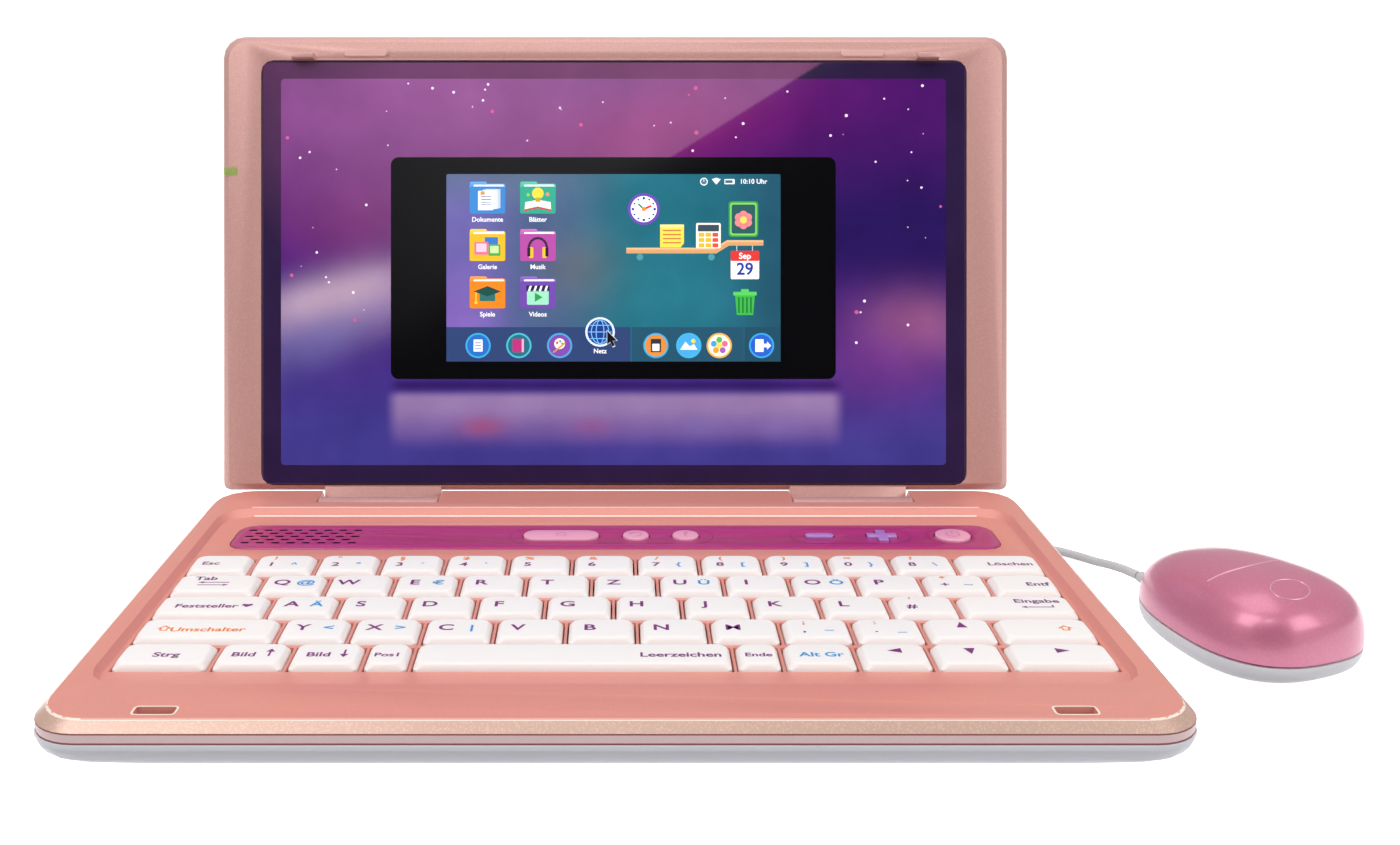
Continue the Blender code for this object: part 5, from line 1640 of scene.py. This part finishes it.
    def task_bar(self, art: Interface) -> None:
        """Draw the task bar, its round icons, the globe and the pointer."""
        art.shape("2E4270", [(-56.0, 51.0), (5.0, 51.0), (5.0, 62.4), (-56.0, 62.4)], 1)
        art.shape("235068", [(5.4, 51.0), (42.4, 51.0), (42.4, 62.4), (5.4, 62.4)], 1)
        art.shape("1F4A60", [(42.8, 51.0), (54.7, 51.0), (54.7, 62.4), (42.8, 62.4)], 1)
        for x, rim, fill in ((-45.5, "38A8DC", "2A6CC0"), (-32.0, "48B8C8", "286A80"),
                             (-18.5, "4AA0D8", "7C4AA8"), (13.4, "40A8D8", "E08A38"),
                             (24.3, "40B0E0", "48A8E0"), (34.4, "F0B040", "F4F0E0"),
                             (48.4, "3AA0E0", "2A60C8")):
            art.disc(rim, x, 56.3, 4.2, 2)
            art.disc(fill, x, 56.3, 3.6, 3)
        art.box("F4F6FA", -45.5, 56.3, 1.5, 2.0, 0.2, 4)
        for row in range(3):
            art.box("6A84B8", -45.5, 57.2 - row * 0.9, 1.0, 0.15, 0.05, 5)
        art.box("B83078", -32.2, 56.3, 1.9, 2.2, 0.3, 4)
        art.box("E8B0CC", -30.7, 56.3, 0.35, 2.2, 0.1, 5)
        art.disc("F4E8D8", -18.5, 56.9, 1.8, 4)
        for dx, dt, ink in ((-0.8, 0.3, "E04848"), (0.2, 0.8, "48A0E0"), (0.9, 0.0, "58B848")):
            art.disc(ink, -18.5 + dx, 56.9 + dt, 0.42, 5)
        art.stroke("D89040", (-20.6, 54.0), (-16.6, 57.2), 0.5, 6)
        art.box("30343C", 13.4, 56.3, 1.7, 2.2, 0.3, 4)
        art.box("E8ECF0", 13.4, 55.7, 1.2, 1.2, 0.2, 5)
        art.shape("E8F4FC", [(21.4, 54.9), (27.2, 54.9), (26.0, 56.8), (24.6, 56.0), (23.2,
                                                                                      57.6)], 4)
        art.disc("F8D850", 25.8, 57.8, 0.7, 4)
        for i in range(5):
            a = math.radians(72 * i + 18)
            ink = ("E86A9A", "58B858", "48A0E0", "E8A030", "A060C0")[i]
            art.disc(ink, 34.4 + 1.9 * math.cos(a), 56.3 + 1.9 * math.sin(a), 1.0, 4)
        art.disc("F4D850", 34.4, 56.3, 1.0, 5)
        art.box("F0F4FA", 47.7, 56.3, 1.4, 2.1, 0.2, 4)
        art.shape("F0F4FA", [(48.6, 55.7), (50.2, 55.7), (50.2, 54.9), (51.6, 56.3), (50.2, 57.7),
                             (50.2, 56.9), (48.6, 56.9)], 5)
        art.disc("D8E8F8", -5.1, 60.8, 4.9, 4)
        art.disc("1E3C8C", -5.1, 60.8, 4.2, 5)
        for spread in (1.3, 2.9):
            points = [(-5.1 + spread * math.cos(a), 60.8 + 3.9 * math.sin(a))
                      for a in np.linspace(0, 2 * math.pi, 25)[:-1]]
            for i in range(24):
                art.stroke("7CC0F0", points[i], points[(i + 1) % 24], 0.28, 6)
        for height in (-2.2, 0.0, 2.2):
            reach = math.sqrt(3.9 ** 2 - height ** 2)
            art.stroke("7CC0F0", (-5.1 - reach, 60.8 + height), (-5.1 + reach, 60.8 + height),
                       0.28, 6)
        art.word("F4F4FA", "Netz", -5.1, 54.4, 2.15, 2)
        pointer = [(-2.9, 61.6), (-2.9, 56.4), (-1.7, 57.4), (-0.9, 55.6), (0.0, 56.0),
                   (-0.8, 57.8), (0.8, 57.9)]
        art.shape("C8CCD4", pointer, 7)
        art.shape("101014", [(-1.0 + (x + 1.0) * 0.86 - 0.1, 58.3 + (t - 58.3) * 0.86)
                             for x, t in pointer], 8)


# ---- mouse -------------------------------------------------------------------------------
@dataclass
class MouseBody:
    """The pearl crown, the white base and the crease of the mouse, which is drawn as a ridge in a painted
    highlight colour.
    """

    centre: Point = (182.2 * MM, 18.9 * MM)
    turn: float = math.radians(22.9)
    length: float = 64.9 * MM
    width: float = 47.7 * MM
    narrowing: float = 0.21
    square: float = 2.45
    seam: float = 5.8 * MM
    seam_gap: float = 0.7 * MM
    steps: int = 96
    crown_marks: tuple = (
        (1.00, 0.0, 0.0), (0.992, 3.5, 0.0), (0.955, 7.5, -0.4), (0.885, 11.0, -1.4),
        (0.775, 14.0, -2.5), (0.625, 16.3, -3.6), (0.435, 18.0, -4.5), (0.215, 18.9, -5.0),
        (0.0, 19.15, -5.2))

    def place(self) -> Matrix:
        """Return the mouse's own place on the floor."""
        return (Matrix.Translation((*self.centre, FLOOR_Z)) @ Matrix.Rotation(self.turn, 4, "Z"))

    def egg(self, scale: float, shift: float = 0.0) -> list[Point]:
        """Return the egg outline at a scale."""
        points = []
        for step in range(self.steps):
            angle = 2 * math.pi * step / self.steps
            across, along = (math.copysign(abs(v) ** (2 / self.square), v)
                             for v in (math.cos(angle), math.sin(angle)))
            half = self.width / 2 * (1.0 - self.narrowing * along)
            points.append((scale * half * across, scale * self.length / 2 * along + shift))
        return points

    def profile(self) -> list[tuple[float, float, float]]:
        """Return the crown's scale, rise and shift from the seam to the top."""
        marks = [Vector((a * 30.0, b, c)) for a, b, c in self.crown_marks]
        made = []
        for i in range(len(marks) - 1):
            before, after = marks[max(i - 1, 0)], marks[min(i + 2, len(marks) - 1)]
            a, b = marks[i], marks[i + 1]
            for step in range(5):
                u = step / 5
                made.append(through(before, a, b, after, u))
        return [(v.x / 30.0, v.y * MM, v.z * MM) for v in made]

    def top(self, x: float, y: float) -> float:
        """Return the crown's height over a point."""
        low = self.seam + self.seam_gap
        before = (low, 0.0)
        for scale, rise, shift in self.profile():
            along = (y - shift) / (max(scale, 1e-4) * self.length / 2)
            half = scale * self.width / 2 * (1.0 - self.narrowing * max(-1.0, min(1.0, along)))
            reach = (abs(x / max(half, 1e-6)) ** self.square
                     + abs(along) ** self.square) ** (1 / self.square)
            if reach > 1.0:
                part = (1.0 - before[1]) / max(reach - before[1], 1e-9)
                return before[0] + (low + rise - before[0]) * max(0.0, min(1.0, part))
            before = (low + rise, reach)
        return before[0]

    def build(self) -> None:
        """Make the crown, the base and the crease."""
        place = self.place()
        low = self.seam + self.seam_gap
        profile = self.profile()
        work = bmesh.new()
        rows = []
        lip = [(0.985, -0.05 * MM, 0.0)]
        for scale, rise, shift in lip + profile:
            rows.append([work.verts.new((x, y, low + rise)) for x, y in self.egg(scale, shift)])
        for a, b in zip(rows, rows[1:]):
            walls(work, a, b)
        _, rise, shift = self.crown_marks[-1]
        pole = work.verts.new((0.0, shift * MM, low + rise * MM))
        for i in range(self.steps):
            work.faces.new((rows[-1][i], rows[-1][(i + 1) % self.steps], pole))
        work.faces.new(list(reversed(rows[0])))
        crown = new_piece("mouse_crown", mesh_of("mouse_crown", work, place), "mouse_top",
                          MOUSE_PEARL, 60.0)
        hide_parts("mouse_top_cover")

        white = [(0.86, 0.0), (0.90, 0.25 * MM), (0.93, 0.8 * MM), (0.965, 1.7 * MM),
                 (0.985, 2.8 * MM), (0.996, 4.2 * MM), (1.0, 5.4 * MM), (0.997, 5.72 * MM),
                 (0.985, 5.8 * MM)]
        mesh = loft_mesh("mouse_base", [[(self.egg(scale), z) for scale, z in white]], place)
        base = new_piece("mouse_base", mesh, "mouse", MOUSE_WHITE, 40.0)
        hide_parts("mouse_bottom_cover")
        self.crease(place)
        self.underside(place)

    def crease(self, place: Matrix) -> None:
        """Lay the fine crease and the empty badge ring on the crown, as thin ridges in a lighter pearl: a painted
        highlight.
        """
        points = []
        for step in range(29):
            u = step / 28
            x = (-17.0 + 24.5 * u) * MM
            y = (-2.5 - 2.0 * u - 1.6 * math.sin(math.pi * u)) * MM
            points.append(Vector((x, y, self.top(x, y) + 0.02 * MM)))
        mesh = tube_mesh("mouse_crease", points, 0.30 * MM, 8)
        mesh.transform(place)
        new_piece("mouse_crease", mesh, "mouse_top", MOUSE_RIDGE_HIGHLIGHT)
        points = []
        for step in range(49):
            a = 2 * math.pi * step / 48
            x, y = (-4.5 + 5.8 * math.cos(a)) * MM, (-19.8 + 4.2 * math.sin(a)) * MM
            points.append(Vector((x, y, self.top(x, y))))
        mesh = tube_mesh("mouse_badge_ring", points, 0.20 * MM, 6)
        mesh.transform(place)
        new_piece("mouse_badge_ring", mesh, "mouse_top", MOUSE_RIDGE_HIGHLIGHT)

    def underside(self, place: Matrix) -> None:
        """Add the dark sensor window under the mouse."""
        window = rounded(5.6 * MM, 3.6 * MM, 1.0 * MM)
        mesh = loft_mesh("mouse_sensor_window", [[(window, 0.3 * MM), (window, 0.9 * MM)]], place)
        new_piece("mouse_sensor_window", mesh, "mouse", DISPLAY_BLACK, smooth=None)


def main() -> None:
    """Build the studio and every sub-assembly."""
    Studio().build()
    MouseCord().build()
    Shells().build()
    BaseEdges().build()
    Keyboard().build()
    ControlStrip().build()
    LidFace().build()
    DesktopPicture().build()
    MouseBody().build()


if __name__ == "__main__":
    logging.basicConfig(level=logging.INFO)
    main()
